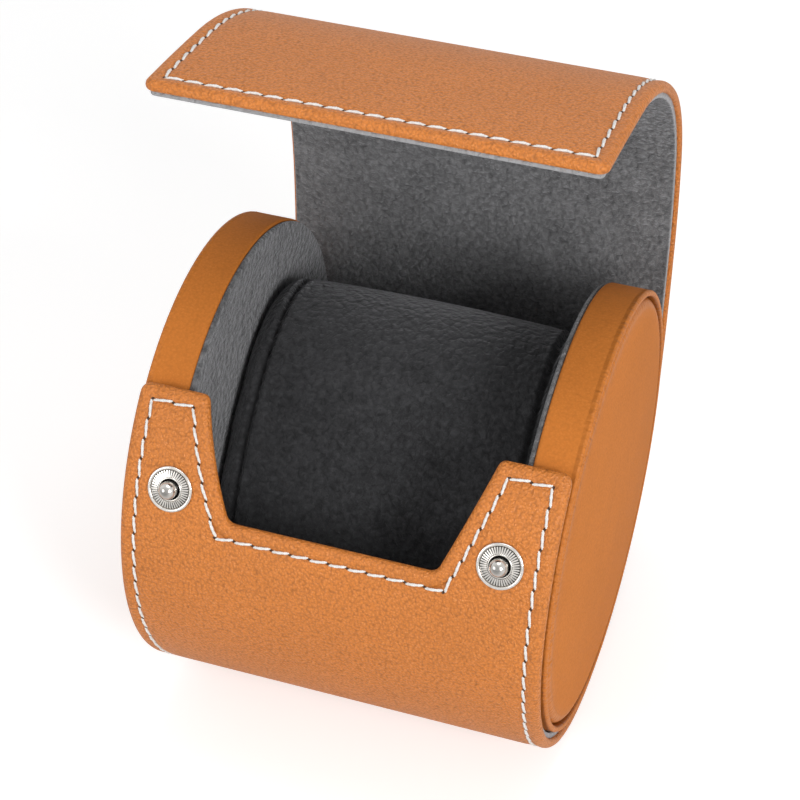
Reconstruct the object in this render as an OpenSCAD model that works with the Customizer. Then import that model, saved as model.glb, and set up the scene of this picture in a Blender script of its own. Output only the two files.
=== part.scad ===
// Watch travel case: two padded end caps, one leather strip that wraps round them and runs
// on as the lid, a press stud on each front ear, and a suede pillow in between.
// X runs along the roll, the front is -Y and Z is up. The origin lies under the middle,
// on the flat that the roll stands on. The lid is drawn open.

/* [End caps] */
// Outer radius of a cap, over its rim leather
cap_r = 43.5; // [38:0.5:50]
// Distance from the middle of the roll to the inner face of each cap's rim
cap_inner_x = 33.3; // [28:0.1:40]
// Width of the rim leather, measured along the roll
rim_w = 7.8; // [6:0.1:12]
// Thickness of the rim leather
rim_t = 1.2; // [0.8:0.1:2]
// Radius of the rolled bead at the rim's outer edge
bead_r = 0.6; // [0.4:0.05:0.9]
// Radius of the rim's inner edge, where its leather turns over the core board
rim_edge_r = 0.6; // [0.4:0.05:0.8]
// Width of the leather turned over the core board's inner side
rim_turn = 4; // [3:0.5:6]
// Thickness of the core board
core_t = 5.6; // [4:0.1:8]
// Thickness of the padded face's leather
face_t = 1; // [0.6:0.1:1.6]
// Rise of the padded face at its middle
face_crown = 2; // [1:0.1:4]
// Radius of the turn at the padded face's edge
face_edge_r = 1.6; // [1.2:0.1:2.4]
// Width of the groove between the face and the rim's bead
groove_w = 0.5; // [0.3:0.05:1]
// Thickness of the suede disc on a cap's inner side
disc_t = 1.2; // [0.6:0.1:2]
// How far the suede disc stays inside the rim
disc_inset = 1.5; // [1:0.1:3]

/* [Leather strip] */
// How far the strip's edges stay inside the caps' beads
strip_in = 0.5; // [0.2:0.1:2]
// Radius of the strip's edges on the smooth side
edge_r = 0.8; // [0.4:0.1:1]
// Thickness of the outer leather
leather_t = 1.2; // [0.8:0.1:1.6]
// Thickness of the stiffener board
board_t = 1; // [0.6:0.1:1.6]
// Thickness of the suede lining
lining_t = 0.8; // [0.5:0.1:1.4]
// Width of the leather turned in at every free edge
turn_w = 1.3; // [1:0.1:3]
// Gap between the strip and the caps
strip_gap = 0.3; // [0.2:0.05:0.6]
// Glue line between layers
glue = 0.04; // [0.02:0.01:0.1]
// Half the width of the flat that the roll stands on
base_half_w = 9; // [5:0.5:9]

/* [Front ears] */
// Angle of the ears' upper edge round the roll, from the back over the top
ear_angle = 130.5; // [124:0.5:138]
// Height of the cut-out's lower edge above the roll's axis
cut_bottom = 16.6; // [12:0.2:20]
// Half the width of the cut-out at its lower edge
cut_half_w = 19.8; // [16:0.2:22]
// Half the width of the cut-out at the ears' upper edge
cut_top_half_w = 28; // [25:0.2:29]
// Radius of the cut-out's lower corners
cut_corner_r = 4; // [1:0.5:6]
// Radius of the ears' and the lid's outer corners
ear_corner_r = 2; // [1:0.25:3]

/* [Lid] */
// Angle on the roll where the lid's lowest fold lies, below the back's middle
hinge_angle = -5; // [-10:0.5:0]
// Direction in which the open lid leaves its lowest fold, from the back towards the top
open_dir = 82; // [78:0.5:88]
// Length of the lid's heel, the first stiff length above the hinge
heel_len = 14; // [12:0.5:18]
// Length of the lid's back
back_len = 20; // [18:0.5:24]
// Length of the lid's shoulder
shoulder_len = 22; // [20:0.5:26]
// Length of the lid's bend
bend_len = 26; // [22:0.5:30]
// Length of the lid's top
top_len = 33; // [30:0.5:38]
// Length of the lid's front, to the free edge
front_len = 24; // [22:0.5:30]
// Turn of the heel along its length
heel_turn = 4; // [3:0.5:8]
// Turn of the back along its length
back_turn = 4; // [3:0.5:8]
// Turn of the shoulder along its length
shoulder_turn = 10; // [6:0.5:16]
// Turn of the bend along its length
bend_turn = 38; // [30:0.5:44]
// Turn of the top along its length
top_turn = 33; // [26:0.5:38]
// Turn of the front along its length
front_turn = 3; // [3:0.5:8]
// Gap left at each fold between two stiff lengths
fold_gap = 0.9; // [0.8:0.05:1.4]

/* [Press studs] */
// Distance of each stud from the middle of the roll
snap_x = 31.2; // [30:0.1:33]
// Angle of the studs round the roll, where the shut lid's sockets land
snap_angle = 153.2; // [150:0.1:156]
// Distance of the sockets from the lid's free edge
snap_back = 8; // [6.5:0.1:10]
// Radius of the stud's flange
flange_r = 4.35; // [4:0.05:4.8]
// Height of the stud's flange above the leather
flange_h = 0.5; // [0.4:0.05:0.8]
// Radius of the stud's ball
ball_r = 1.7; // [1.4:0.05:2]
// Height of the ball's centre above the leather
ball_h = 1.2; // [1:0.05:1.5]
// Radius of the shanks
shank_r = 1.1; // [0.8:0.05:1.3]
// Radius of the washers
washer_r = 3.2; // [2.6:0.1:4]
// Thickness of the washers
washer_t = 0.4; // [0.3:0.05:0.5]
// Outer radius of the socket's ring
socket_r = 4.1; // [3.6:0.05:4.6]
// Depth of the socket's ring below the lining
socket_h = 1.3; // [1:0.05:1.6]
// Clearance round the ball in the socket's mouth
mouth_gap = 0.35; // [0.2:0.05:0.6]

/* [Pillow] */
// Half the pillow's height, along its long axis
pillow_a = 30; // [26:0.5:32]
// Half the pillow's thickness
pillow_b = 20.5; // [17:0.5:22]
// Tilt of the pillow's long axis back from level
pillow_tilt = 45; // [40:1:50]
// Gap between the pillow's ends and the suede discs
pillow_gap = 0.3; // [0.2:0.05:1]
// How far the ends are drawn in
pillow_draw = 3.6; // [2:0.1:5]
// Distance of each seam from the pillow's end
seam_in = 5; // [4:0.5:8]
// Depth of the seams
seam_depth = 0.7; // [0.3:0.05:1.2]
// Thickness of the pillow's cover
cover_t = 1.4; // [1:0.1:2.5]

/* [Hidden] */
$fn = 96;
arc_fn = 1080;                              // steps in a full turn of the strip's wide arcs

left = -1;
right = 1;
over = 1;                                   // how far a cutter runs past what it cuts
strip_t = lining_t + board_t + leather_t;
strip_half_w = cap_inner_x + rim_w - strip_in;
wrap_in_r = cap_r + strip_gap;
wrap_out_r = wrap_in_r + strip_t;
wrap_mid_r = wrap_in_r + strip_t / 2;
axis_z = sqrt(pow(wrap_out_r, 2) - pow(base_half_w, 2));
core_r = cap_r - rim_t - glue;
core_out_x = cap_inner_x + core_t;
face_r = cap_r - 2 * bead_r - groove_w;
disc_in_x = cap_inner_x - disc_t;
pillow_half_l = disc_in_x - pillow_gap;

// ---- lid profile: six arcs, each [length, turn], one after the other ----
LENGTHS = [heel_len, back_len, shoulder_len, bend_len, top_len, front_len];
TURNS = [heel_turn, back_turn, shoulder_turn, bend_turn, top_turn, front_turn];
HEEL = 0;
BACK = 1;
SHOULDER = 2;
BEND = 3;
TOP = 4;
FRONT = 5;
function unit(a) = [cos(a), sin(a)];
function radius(k) = LENGTHS[k] * 180 / (PI * TURNS[k]);
function lid_dir(k) = k < 1 ? open_dir : lid_dir(k - 1) + TURNS[k - 1];
function hinge_point() = [0, axis_z] + wrap_mid_r * unit(hinge_angle);
function centre(k) = fold(k) + radius(k) * unit(lid_dir(k) + 90);
function fold(k) = k < 1 ? hinge_point() : centre(k - 1) + radius(k - 1) * unit(lid_dir(k) - 90);
for (k = [HEEL:FRONT]) echo(fold = k, y = fold(k)[0], z = fold(k)[1], dir = lid_dir(k));
echo(axis_z = axis_z, wrap_out_r = wrap_out_r, pillow_half_l = pillow_half_l);

// ---- helpers ----
// Turns local Z to the roll's X axis and local X to +Y, with the local origin at [y, z]
module along_x(at) translate([0, at[0], at[1]]) rotate([90, 0, 90]) children();

// A curved plate: part of a tube about the X axis through at
module plate(at, r1, r2, half_w, a1, a2)
    along_x(at) rotate([0, 0, a1]) rotate_extrude(angle = a2 - a1, $fn = arc_fn)
        translate([r1, -half_w]) square([r2 - r1, 2 * half_w]);

// The same, with the smooth side's edges rounded
module soft_plate(at, r1, r2, half_w, a1, a2)
    along_x(at) rotate([0, 0, a1]) rotate_extrude(angle = a2 - a1, $fn = arc_fn) {
        translate([r1, -half_w]) square([r2 - r1 - edge_r, 2 * half_w]);
        translate([r1, edge_r - half_w]) square([r2 - r1, 2 * (half_w - edge_r)]);
        for (side = [left, right]) translate([r2 - edge_r, side * (half_w - edge_r)])
            circle(r = edge_r, $fn = 32);
    }

// Puts children at [y, z], with local Z along the direction dir and local X along the roll
module facing(at, dir, x = 0) translate([x, at[0], at[1]]) rotate([dir - 90, 0, 0]) children();

// Mirrors a cap's piece, which is drawn on the right with X as the axis
module cap_side(side) mirror([side == left ? 1 : 0, 0, 0])
    along_x([0, axis_z]) children();

// Fillet of radius r at b, between the edges from a and to c, as points
function fillet(a, b, c, r, steps = 6) =
    let (u = (a - b) / norm(a - b), v = (c - b) / norm(c - b),
        half = acos(u * v) / 2, m = (u + v) / norm(u + v), o = b + m * r / sin(half),
        p = b + u * r / tan(half), q = b + v * r / tan(half),
        pa = atan2((p - o)[1], (p - o)[0]), qa = atan2((q - o)[1], (q - o)[0]),
        sweep = qa - pa > 180 ? qa - pa - 360 : qa - pa < -180 ? qa - pa + 360 : qa - pa)
    [for (i = [0:steps]) o + r * unit(pa + sweep * i / steps)];

// ---- end caps ----
module cap_core(side) color("burlywood") cap_side(side)
    translate([0, 0, cap_inner_x]) cylinder(r = core_r, h = core_t);

// The rim leather ends in a rolled bead outside, and turns over the core board inside
module rim_leather(side) color("peru") cap_side(side) {
    bead_z = cap_inner_x + rim_w - bead_r;
    turn_z = cap_inner_x - glue;
    rotate_extrude() {
        translate([cap_r - rim_t, turn_z]) square([rim_t, rim_w - bead_r + glue]);
        translate([cap_r - bead_r, bead_z]) circle(r = bead_r, $fn = 32);
        translate([cap_r - rim_edge_r, turn_z]) circle(r = rim_edge_r, $fn = 32);
        translate([cap_r - rim_turn, turn_z - rim_edge_r])
            square([rim_turn - rim_edge_r, rim_edge_r]);
    }
}

// Height of the padded face over the core at radius r, for a pad of edge radius e
function pad_points(r, e, rise, steps = 6) = concat(
    [[0, 0], [r, 0]],
    [for (i = [0:steps]) [r - e + e * cos(90 * i / steps), e * sin(90 * i / steps)]],
    [for (i = [1:steps]) let (q = 1 - i / steps) [(r - e) * q, e + rise * (1 - q * q)]]);

module pad(r, e, rise) translate([0, 0, core_out_x + glue])
    rotate_extrude() polygon(pad_points(r, e, rise));

module face_foam(side) color("ivory") cap_side(side)
    pad(face_r - face_t, face_edge_r - face_t / 2, face_crown - face_t / 2);

module face_leather(side) color("chocolate") cap_side(side) difference() {
    pad(face_r, face_edge_r, face_crown);
    translate([0, 0, -glue]) pad(face_r - face_t + glue, face_edge_r - face_t / 2 + 2 * glue,
        face_crown - face_t / 2);
}

// The disc is stepped, so that its border lies on the rim's turned leather
module suede_disc(side) color("dimgray") cap_side(side) translate([0, 0, disc_in_x]) {
    cylinder(r = cap_r - disc_inset, h = disc_t - rim_edge_r - 2 * glue);
    cylinder(r = cap_r - rim_turn - glue, h = disc_t - glue);
}

// ---- leather strip round the caps ----
wrap_end = hinge_angle - fold_gap * 90 / (PI * wrap_mid_r);
wrap_start = ear_angle - 360;

// What is cut away between the ears, grown by inset on the leather's side
module ear_cut(inset = 0) {
    top = wrap_out_r + over;
    ear_z = wrap_out_r * sin(ear_angle);
    slope = (cut_top_half_w - cut_half_w) / (ear_z - cut_bottom);
    low_w = cut_half_w + inset;
    low_z = cut_bottom - inset;
    high_w = low_w + slope * (top - low_z);
    corner_r = max(cut_corner_r - inset, 1);
    right_low = fillet([high_w, top], [low_w, low_z], [-low_w, low_z], corner_r);
    left_low = fillet([low_w, low_z], [-low_w, low_z], [-high_w, top], corner_r);
    translate([0, 0, axis_z]) rotate([90, 0, 0])
        linear_extrude(height = wrap_out_r + over)
            polygon(concat([[high_w, top]], right_low, left_low, [[-high_w, top]]));
}

// A strip corner of radius r to cut off, with the corner at the local origin
module corner_cut(r) difference() {
    translate([-r, -r, -strip_t]) cube([r + over, r + over, 2 * strip_t]);
    translate([-r, -r, -strip_t - over]) cylinder(r = r, h = 2 * strip_t + 2 * over, $fn = 32);
}

// The four upper corners of the ears, looked at along the leather's normal
module ear_corners() {
    tip = [0, axis_z] + wrap_mid_r * unit(ear_angle);
    for (side = [left, right]) mirror([side == left ? 1 : 0, 0, 0]) {
        facing(tip, ear_angle, strip_half_w) corner_cut(ear_corner_r);
        facing(tip, ear_angle, cut_top_half_w) mirror([1, 0, 0]) corner_cut(ear_corner_r);
    }
}

// Space for the board and the lining inside the turned edges
module wrap_pocket(r1, r2) difference() {
    plate([0, axis_z], r1, r2, strip_half_w - turn_w,
        wrap_start + turn_w * 180 / (PI * wrap_mid_r), wrap_end);
    ear_cut(turn_w);
}

module stud_bores(r) for (side = [left, right])
    facing([0, axis_z], snap_angle, side * snap_x)
        translate([0, 0, wrap_in_r - over]) cylinder(r = r, h = strip_t + 2 * over);

module wrap_leather() color("peru") difference() {
    soft_plate([0, axis_z], wrap_in_r, wrap_out_r, strip_half_w, wrap_start, wrap_end);
    ear_cut();
    ear_corners();
    difference() {
        plate([0, axis_z], wrap_in_r - over, wrap_out_r - leather_t, strip_half_w - turn_w,
            wrap_start + turn_w * 180 / (PI * wrap_mid_r), wrap_end + over);
        ear_cut(turn_w);
    }
    stud_bores(shank_r);
    translate([-strip_half_w - over, -wrap_out_r, -wrap_out_r])
        cube([2 * (strip_half_w + over), 2 * wrap_out_r, wrap_out_r]);
}

module wrap_board() color("tan") difference() {
    wrap_pocket(wrap_in_r + lining_t + glue, wrap_out_r - leather_t - glue);
    stud_bores(shank_r);
    for (side = [left, right]) facing([0, axis_z], snap_angle, side * snap_x)
        translate([0, 0, wrap_in_r - over])
            cylinder(r = washer_r + glue, h = lining_t + washer_t + over + 2 * glue);
}

module wrap_lining() color("gray") wrap_pocket(wrap_in_r, wrap_in_r + lining_t);

// ---- press studs ----
module ear_studs() color("silver") for (side = [left, right])
    facing([0, axis_z], snap_angle, side * snap_x) translate([0, 0, wrap_out_r]) {
        difference() {
            cylinder(r = flange_r, h = flange_h + glue);
            translate([0, 0, flange_h / 2]) difference() {
                cylinder(r = flange_r - flange_h, h = flange_h + over);
                translate([0, 0, -over]) cylinder(r = ball_r + flange_h, h = flange_h + 2 * over);
            }
        }
        translate([0, 0, -leather_t - board_t + glue]) cylinder(r = shank_r, h = leather_t
            + board_t + ball_h);
        translate([0, 0, ball_h]) sphere(r = ball_r);
    }

module ear_stud_washers() color("silver") for (side = [left, right])
    facing([0, axis_z], snap_angle, side * snap_x)
        translate([0, 0, wrap_in_r + lining_t + glue]) difference() {
            cylinder(r = washer_r, h = washer_t);
            translate([0, 0, -over]) cylinder(r = shank_r, h = washer_t + 2 * over);
        }

// ---- lid: six stiff lengths with a fold between each two ----
function half_fold(k) = fold_gap * 90 / (PI * radius(k));
function start_of(k) = lid_dir(k) - 90 + half_fold(k);
function end_of(k) = lid_dir(k) - 90 + TURNS[k] - (k == FRONT ? 0 : half_fold(k));
function in_r(k) = radius(k) - strip_t / 2;
function out_r(k) = radius(k) + strip_t / 2;
free_edge = centre(FRONT) + radius(FRONT) * unit(end_of(FRONT));
edge_trim = turn_w * 180 / (PI * radius(FRONT));

// Space for the layers inside the turned edges of a length, between two radii
module lid_pocket(k, r1, r2) plate(centre(k), r1, r2, strip_half_w - turn_w,
    start_of(k) - (r1 < in_r(k) ? over : 0), end_of(k)
    - (k == FRONT ? edge_trim : r1 < in_r(k) ? -over : 0));

// Puts children on the line of the sockets, with local Z towards the lining's side
module at_sockets() {
    a = end_of(FRONT) - snap_back * 180 / (PI * radius(FRONT));
    for (side = [left, right])
        facing(centre(FRONT) + in_r(FRONT) * unit(a), a + 180, side * snap_x) children();
}

module lid_leather(k) color("peru") difference() {
    soft_plate(centre(k), in_r(k), out_r(k), strip_half_w, start_of(k), end_of(k));
    lid_pocket(k, in_r(k) - over, out_r(k) - leather_t);
    if (k == FRONT) for (side = [left, right]) mirror([side == left ? 1 : 0, 0, 0])
        facing(free_edge, end_of(k), strip_half_w) mirror([0, 1, 0]) corner_cut(ear_corner_r);
}

module lid_board(k) color("tan") difference() {
    lid_pocket(k, in_r(k) + lining_t + glue, out_r(k) - leather_t - glue);
    if (k == FRONT) at_sockets() {
        translate([0, 0, -strip_t]) cylinder(r = shank_r + mouth_gap + ball_r, h = 2 * strip_t);
        translate([0, 0, -strip_t]) cylinder(r = washer_r + glue + ball_r / 2, h = leather_t
            + washer_t + 2 * glue);
    }
}

module lid_lining(k) color("gray") difference() {
    lid_pocket(k, in_r(k), in_r(k) + lining_t);
    if (k == FRONT) at_sockets()
        translate([0, 0, -strip_t]) cylinder(r = shank_r + mouth_gap + ball_r, h = 2 * strip_t);
}

mouth_r = ball_r + mouth_gap;
tube_r = shank_r + mouth_gap + ball_r;

// Each socket is a ring under the lining on a tube that runs up through lining and board
module lid_sockets() color("silver") at_sockets() difference() {
    union() {
        translate([0, 0, glue]) cylinder(r = socket_r, h = socket_h - glue);
        translate([0, 0, -lining_t - board_t + glue])
            cylinder(r = tube_r, h = lining_t + board_t);
    }
    translate([0, 0, -strip_t]) cylinder(r = mouth_r, h = strip_t + socket_h + over);
}

module lid_socket_washers() color("silver") at_sockets()
    translate([0, 0, -lining_t - board_t + 2 * glue]) difference() {
        cylinder(r = washer_r + ball_r / 2, h = washer_t - glue);
        translate([0, 0, -over]) cylinder(r = tube_r, h = washer_t + 2 * over);
    }

// ---- pillow: an oval roll with a crown, a seam near each end and drawn-in ends ----
pillow_sides = 36;
pillow_power = 2.25;                        // 2 is an ellipse, more is fuller
seam_x = pillow_half_l - seam_in;
END_STEPS = [1, 0.985, 0.96, 0.93];         // shares of the half length near an end

// Stations along one half, from the middle out
function stations() = concat([0, 0.25 * seam_x, 0.5 * seam_x, 0.75 * seam_x, 0.93 * seam_x,
    seam_x - seam_depth, seam_x, seam_x + seam_depth],
    [for (i = [len(END_STEPS) - 1:-1:0]) pillow_half_l * END_STEPS[i]]);
function full_stations() = let (s = stations(), n = len(s))
    concat([for (i = [n - 1:-1:1]) -s[i]], s);

// How far the surface lies inside the full oval at x
function drawn_in(x) = let (end = max(0, abs(x) - 0.93 * seam_x) / (pillow_half_l - 0.93 * seam_x))
    1.2 * pow(x / pillow_half_l, 2) + pillow_draw * pow(end, 3)
    + (abs(abs(x) - seam_x) < 0.1 ? seam_depth : 0);

function oval(a, b, t) = [a * sign(cos(t)) * pow(abs(cos(t)), 2 / pillow_power),
    b * sign(sin(t)) * pow(abs(sin(t)), 2 / pillow_power)];

module pillow_form(xs, inset) {
    n = pillow_sides;
    rings = len(xs);
    points = concat([for (x = xs) for (i = [0:n - 1])
        let (d = drawn_in(x) + inset, p = oval(pillow_a - d, pillow_b - d, 360 * i / n))
        [x, p[0] * cos(pillow_tilt) - p[1] * sin(pillow_tilt),
            p[0] * sin(pillow_tilt) + p[1] * cos(pillow_tilt)]],
        [[xs[0], 0, 0], [xs[rings - 1], 0, 0]]);
    walls = [for (r = [0:rings - 2]) for (i = [0:n - 1]) for (half = [0, 1])
        let (j = (i + 1) % n, a = r * n + i, b = r * n + j, c = (r + 1) * n + j,
            d = (r + 1) * n + i) half == 0 ? [a, c, b] : [a, d, c]];
    first = [for (i = [0:n - 1]) [rings * n, i, (i + 1) % n]];
    last = [for (i = [0:n - 1]) [rings * n + 1, (rings - 1) * n + (i + 1) % n,
        (rings - 1) * n + i]];
    translate([0, 0, axis_z]) polyhedron(points, concat(walls, first, last));
}

// The foam stops short of the ends and passes under the seams
function foam_stations(l) = [for (q = [-1, -0.8, -0.4, 0, 0.4, 0.8, 1]) q * l];
foam_half_l = seam_x - seam_depth - cover_t;

module pillow_cover() color("darkslategray") difference() {
    pillow_form(full_stations(), 0);
    pillow_form(foam_stations(foam_half_l), cover_t);
}

module pillow_foam() color("ivory")
    pillow_form(foam_stations(foam_half_l - glue), cover_t + glue);

cap_core(left);  // left_cap_core
cap_core(right);  // right_cap_core
rim_leather(left);  // left_rim_leather
rim_leather(right);  // right_rim_leather
face_foam(left);  // left_face_foam
face_foam(right);  // right_face_foam
face_leather(left);  // left_face_leather
face_leather(right);  // right_face_leather
suede_disc(left);  // left_suede_disc
suede_disc(right);  // right_suede_disc
wrap_leather();
wrap_board();
wrap_lining();
ear_studs();
ear_stud_washers();
lid_leather(HEEL);  // lid_heel_leather
lid_board(HEEL);  // lid_heel_board
lid_lining(HEEL);  // lid_heel_lining
lid_leather(BACK);  // lid_back_leather
lid_board(BACK);  // lid_back_board
lid_lining(BACK);  // lid_back_lining
lid_leather(SHOULDER);  // lid_shoulder_leather
lid_board(SHOULDER);  // lid_shoulder_board
lid_lining(SHOULDER);  // lid_shoulder_lining
lid_leather(BEND);  // lid_bend_leather
lid_board(BEND);  // lid_bend_board
lid_lining(BEND);  // lid_bend_lining
lid_leather(TOP);  // lid_top_leather
lid_board(TOP);  // lid_top_board
lid_lining(TOP);  // lid_top_lining
lid_leather(FRONT);  // lid_front_leather
lid_board(FRONT);  // lid_front_board
lid_lining(FRONT);  // lid_front_lining
lid_sockets();
lid_socket_washers();
pillow_cover();
pillow_foam();
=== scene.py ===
"""Watch travel case: leather, suede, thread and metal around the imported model.

Lengths in the property groups are in metres. Work along the strip is done in millimetres,
measured from the lid's lowest fold, and turned into metres when a mesh is made.
"""

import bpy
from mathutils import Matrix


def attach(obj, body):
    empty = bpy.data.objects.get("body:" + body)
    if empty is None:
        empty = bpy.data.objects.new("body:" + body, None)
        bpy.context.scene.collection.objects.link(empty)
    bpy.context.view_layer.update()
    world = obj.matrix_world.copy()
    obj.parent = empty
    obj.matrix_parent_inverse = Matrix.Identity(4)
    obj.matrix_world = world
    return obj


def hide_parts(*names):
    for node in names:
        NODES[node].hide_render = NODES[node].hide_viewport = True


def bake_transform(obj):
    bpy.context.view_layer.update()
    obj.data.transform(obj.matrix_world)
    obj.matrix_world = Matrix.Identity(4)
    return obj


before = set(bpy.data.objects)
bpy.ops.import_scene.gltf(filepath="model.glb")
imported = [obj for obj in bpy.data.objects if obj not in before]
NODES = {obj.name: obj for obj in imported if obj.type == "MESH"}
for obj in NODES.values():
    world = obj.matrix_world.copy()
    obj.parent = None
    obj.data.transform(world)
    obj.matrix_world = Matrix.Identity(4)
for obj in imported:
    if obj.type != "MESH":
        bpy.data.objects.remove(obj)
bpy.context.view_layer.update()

import functools
import math

import bmesh
import bpy
import numpy as np
from bpy.props import FloatProperty, FloatVectorProperty, IntProperty, PointerProperty
from mathutils import Vector, geometry

bl_info = {
    "name": "Watch travel case",
    "version": (1, 0, 0),
    "blender": (4, 5, 0),
    "location": "3D View > Sidebar > Watch Case",
    "description": "Dresses the packed watch travel case in leather, suede, thread and metal",
    "category": "Object",
}

MM = 0.001

# ---- the case's own sizes, in millimetres, as its source has them ----
AXIS_Z = 45.9265
STRIP_T = 3.0
LEATHER_T = 1.2
LINING_T = 0.75
WRAP_MID_R = 45.3
CAP_R = 43.5
CAP_INNER_X = 33.3
RIM_W = 7.8
FACE_R = 42.1
FACE_BASE_X = 38.94
FACE_TOP_X = 42.5
FACE_ROLL = 2.2
DISC_SHOWN_R = 43.15
DISC_IN_X = 32.1
STRIP_HALF_W = 40.6
HINGE_ANGLE = -5.0
EAR_ANGLE = 130.5
CUT_BOTTOM = 16.6
CUT_HALF_W = 19.8
CUT_TOP_HALF_W = 28.0
CUT_CORNER_R = 2.2
EDGE_CORNER_R = 2.0
OPEN_DIR = 82.0
LID_NAMES = ["heel", "back", "shoulder", "bend", "top", "front"]
LID_LENGTHS = [14.0, 20.0, 22.0, 26.0, 33.0, 24.0]
LID_TURNS = [4.0, 4.0, 10.0, 38.0, 33.0, 3.0]
SNAP_X = 31.2
SNAP_ANGLE = 153.2
SNAP_BACK = 8.0
SOCKET_TUBE_R = 2.9
PILLOW_HALF_L = 31.8
PILLOW_TILT = 45.0

# ---- what only the scene has, in millimetres ----
# The strip's place up to which its leather stays on the case; past it the leather is cut in the
# lid's lengths
CASE_END = -6.0
# The pillow's half height and half thickness when filled, and its shift back and up
PILLOW_A = 32.6
PILLOW_B = 22.4
PILLOW_SHIFT = (0.5, 1.4)
# Distance of the pillow's seams from its ends
SEAM_IN = 5.0
# How far the filled pillow may swell out of its sewn shape
SWELL_MOST = 1.4

# ---- the stage, in metres and degrees ----
LAMPS = {"key": ((0.52, -0.46, 0.40), 0.30), "fill": ((-0.40, -0.46, 0.28), 0.34),
         "top": ((0.02, 0.06, 0.62), 0.36)}
LAMP_AIM = (0, 0.01, 0.05)
CAMERA_PLACE = (0.10347, -0.31137, 0.34037)
CAMERA_TURN = 18.6
CAMERA_DIP = 40.2
CAMERA_LENS = 100.35
FLOOR_HALF = 3.0
FLOOR_GLOW = 0.42


# ---- what a user may change ----
class CaseLeather(bpy.types.PropertyGroup):
    color: FloatVectorProperty(
        name="Leather", description="Colour of the smooth side of the leather",
        subtype="COLOR", size=3, min=0, max=1, default=(0.57, 0.18, 0.028))
    grain: FloatProperty(
        name="Grain", description="Width of one pebble of the leather's grain",
        subtype="DISTANCE", unit="LENGTH", min=0.0002, max=0.003, default=0.00054)
    grain_depth: FloatProperty(
        name="Grain depth", description="Depth of the creases between the pebbles",
        subtype="DISTANCE", unit="LENGTH", min=0, max=0.0005, default=0.00009)
    edge_round: FloatProperty(
        name="Edge", description="Width over which the turned edge rounds off",
        subtype="DISTANCE", unit="LENGTH", min=0.0003, max=0.002, default=0.0015)


class CaseThread(bpy.types.PropertyGroup):
    color: FloatVectorProperty(
        name="Thread", description="Colour of the thread", subtype="COLOR", size=3,
        min=0, max=1, default=(0.86, 0.85, 0.82))
    pitch: FloatProperty(
        name="Pitch", description="Distance from one needle hole to the next",
        subtype="DISTANCE", unit="LENGTH", min=0.002, max=0.006, default=0.0036)
    radius: FloatProperty(
        name="Radius", description="Radius of the thread", subtype="DISTANCE",
        unit="LENGTH", min=0.0001, max=0.0008, default=0.00032)
    inset: FloatProperty(
        name="Inset", description="Distance of the seam from the strip's edge",
        subtype="DISTANCE", unit="LENGTH", min=0.0015, max=0.005, default=0.0029)


class CaseSuede(bpy.types.PropertyGroup):
    color: FloatVectorProperty(
        name="Lining", description="Colour of the lining and of the discs",
        subtype="COLOR", size=3, min=0, max=1, default=(0.135, 0.135, 0.138))
    pillow: FloatVectorProperty(
        name="Pillow", description="Colour of the pillow's suede", subtype="COLOR",
        size=3, min=0, max=1, default=(0.038, 0.038, 0.040))
    swell: FloatProperty(
        name="Swell", description="Pressure that fills the pillow", min=0, max=20,
        default=3.0)


class CaseMetal(bpy.types.PropertyGroup):
    color: FloatVectorProperty(
        name="Nickel", description="Colour of the press studs", subtype="COLOR", size=3,
        min=0, max=1, default=(0.72, 0.69, 0.65))
    knurls: IntProperty(
        name="Knurls", description="Number of ribs round a stud's flange", min=12,
        max=120, default=44)


class CaseStage(bpy.types.PropertyGroup):
    key: FloatProperty(
        name="Key light", description="Power of the large lamp at the front right",
        subtype="POWER", unit="POWER", min=0, default=3.5)
    fill: FloatProperty(
        name="Fill light", description="Power of the lamp at the front left",
        subtype="POWER", unit="POWER", min=0, default=1.2)
    top: FloatProperty(
        name="Top light", description="Power of the lamp over the case",
        subtype="POWER", unit="POWER", min=0, default=0.8)


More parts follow.
